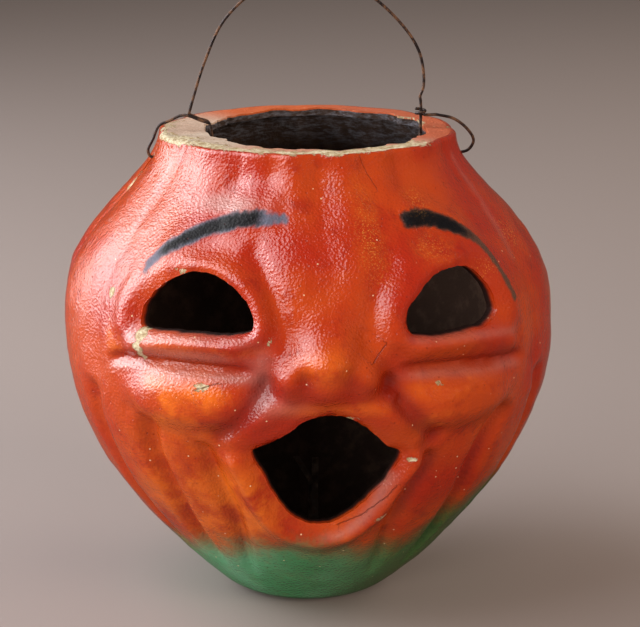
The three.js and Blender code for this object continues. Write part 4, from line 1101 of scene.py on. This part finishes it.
def sooty_metal(name, bright, dull, rust):
    """Metal under soot: bright where rubbed, brown in patches, with small pits."""
    metal = Shader(name)
    cloud = metal.noise(170, 4, 0.65)
    fine = metal.noise(1500, 3, 0.6)
    colour = metal.over(bright, dull, metal.between(cloud, 0.35, 0.55))
    brown = metal.between(metal.noise(420, 5, 0.7), 0.5, 0.62)
    metal.give("Base Color", metal.over(colour, rust, brown, 0.85))
    metal.give("Metallic", metal.math("SUBTRACT", 0.6, metal.times(brown, 0.5)))
    metal.give("Roughness", metal.math("ADD", 0.4, metal.times(fine, 0.35)))
    relief = metal.bumps(brown, 0.00015, strength=0.6)
    metal.give("Normal", metal.bumps(fine, 0.0001, relief, 0.6))
    return metal.material


def refinish(node, material):
    """A CAD node keeps its shape and gets a better material."""
    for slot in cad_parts[node].material_slots:
        slot.material = material


refinish("candle_holder", sooty_metal(
    "sooty_tin", srgb(178, 160, 146), srgb(112, 98, 88), srgb(104, 70, 48)))
refinish("holder_brad", sooty_metal(
    "old_brass", srgb(150, 118, 60), srgb(74, 60, 36), srgb(60, 42, 26)))

# The tapes: strips of gummed paper pasted over the seams inside and painted black with the
# rest of the inside.


def gummed_paper():
    """Paper painted black: faint fibres, wrinkles and worn brown patches."""
    paper = Shader("gummed_paper")
    fibre = paper.noise(900, 4, 0.7, (1, 1, 0.25))
    patch = paper.between(paper.noise(90, 3), 0.58, 0.72)
    colour = paper.over(srgb(38, 31, 27), srgb(64, 52, 45), paper.between(fibre, 0.4, 0.7))
    paper.give("Base Color", paper.over(colour, srgb(92, 70, 50), patch, 0.5))
    paper.give("Roughness", 0.88)
    wrinkles = paper.bumps(paper.noise(260, 2), 0.0003, strength=0.5)
    paper.give("Normal", paper.bumps(fibre, 0.00012, wrinkles, 0.6))
    return paper.material


pasted_paper = gummed_paper()
for tape in ("seam_tape_left", "seam_tape_right", "seam_tape_base"):
    refinish(tape, pasted_paper)

# The floor: one plain sheet of pale paper, far wider than the picture. The lantern stands on
# it with the flat of its foot.
FLOOR_HALF_SIZE = 5.0


def floor_paper():
    """Pale to the camera and darker in the lantern's shine."""
    card = Shader("floor_paper")
    mirrored = card.node("ShaderNodeLightPath").outputs["Is Glossy Ray"]
    card.give("Base Color", card.over(srgb(132, 122, 119), srgb(88, 77, 70), mirrored))
    card.give("Roughness", 0.9)
    return card.material


def floor_sheet():
    """A square on the ground, with the lantern at its middle."""
    corners = [(x * FLOOR_HALF_SIZE, y * FLOOR_HALF_SIZE, 0)
               for x, y in ((-1, -1), (1, -1), (1, 1), (-1, 1))]
    mesh = bpy.data.meshes.new("floor")
    mesh.from_pydata(corners, [], [(0, 1, 2, 3)])
    sheet = bpy.data.objects.new("floor", mesh)
    bpy.context.scene.collection.objects.link(sheet)
    return sheet


floor = floor_sheet()
floor.data.materials.append(floor_paper())

# The light: a large soft window from the left and above and one behind it, weaker warm
# lamps all round that the paint doesn't mirror, and an even pale surround.
WINDOW_LIGHT = (0.97, 0.98, 1.0)
ROOM_LIGHT = (1.0, 0.88, 0.78, 1)
ROOM_STRENGTH = 0.26


def softbox(name, place, aim, size, watts, colour):
    """A flat rectangle of light at a place, turned to face another."""
    data = bpy.data.lights.new(name, "AREA")
    data.shape = "RECTANGLE"
    data.size, data.size_y = size
    data.energy = watts
    data.color = colour
    lamp = bpy.data.objects.new(name, data)
    lamp.location = place
    direction = Vector(aim) - Vector(place)
    lamp.rotation_euler = direction.to_track_quat("-Z", "Y").to_euler()
    bpy.context.scene.collection.objects.link(lamp)
    return lamp


softbox("window", (-0.74, -0.08, 0.80), (0, 0, 0.1), (1.25, 1.1), 15.5, WINDOW_LIGHT)
softbox("window_behind", (-1.15, 0.45, 0.5), (0, 0, 0.08), (1.0, 1.2), 21, (0.98, 0.98, 1.0))
for name, place, watts, colour in (
        ("fill_right", (1.5, -1.4, 0.75), 34, (1.0, 0.84, 0.68)),
        ("fill_behind", (1.6, 0.6, 1.0), 18, (1.0, 0.86, 0.72)),
        ("fill_left", (-1.3, -1.6, 0.1), 70, (1.0, 0.9, 0.8))):
    softbox(name, place, (0, 0, 0.08), (1.0, 1.0), watts, colour).visible_glossy = False
world = bpy.data.worlds.new("surround")
world.use_nodes = True
nodes, links = world.node_tree.nodes, world.node_tree.links
surround = nodes["Background"]
surround.inputs["Color"].default_value = ROOM_LIGHT
rays = nodes.new("ShaderNodeLightPath")
strength = nodes.new("ShaderNodeValue").outputs[0]
strength.default_value = ROOM_STRENGTH
# dimmer where the paint mirrors it, and brighter behind the lantern
for ray, change in (("Is Glossy Ray", -0.14), ("Is Camera Ray", 0.16)):
    changed = nodes.new("ShaderNodeMath")
    changed.operation = "MULTIPLY_ADD"
    links.new(rays.outputs[ray], changed.inputs[0])
    changed.inputs[1].default_value = change
    links.new(strength, changed.inputs[2])
    strength = changed.outputs[0]
links.new(strength, surround.inputs["Strength"])
bpy.context.scene.world = world
bpy.context.scene.view_settings.view_transform = "Standard"

# The camera stands where the photograph was taken from: a little to the left of the face
# and above it, with a long lens.
CAMERA_TURN = math.radians(-4.5)
CAMERA_TILT = math.radians(16)
CAMERA_DISTANCE = 0.75
AIM_HEIGHT = 0.0775
AIM_RIGHT = 0.00425
AIM_UP = 0.01679
LENS_LENGTH = 122.6
LENS_FRAME = 36.0
back_dir = Vector((math.sin(CAMERA_TURN) * math.cos(CAMERA_TILT),
                   -math.cos(CAMERA_TURN) * math.cos(CAMERA_TILT), math.sin(CAMERA_TILT)))
right_dir = Vector((math.cos(CAMERA_TURN), math.sin(CAMERA_TURN), 0))
up_dir = right_dir.cross(-back_dir)
centre = Vector((0, 0, AIM_HEIGHT))
target = centre + AIM_RIGHT * right_dir + AIM_UP * up_dir
lens = bpy.data.cameras.new("camera")
lens.lens = LENS_LENGTH
lens.sensor_width = LENS_FRAME
lens.sensor_fit = "HORIZONTAL"
camera = bpy.data.objects.new("camera", lens)
camera.location = centre + CAMERA_DISTANCE * back_dir
camera.rotation_euler = (target - camera.location).to_track_quat("-Z", "Y").to_euler()
bpy.context.scene.collection.objects.link(camera)
bpy.context.scene.camera = camera
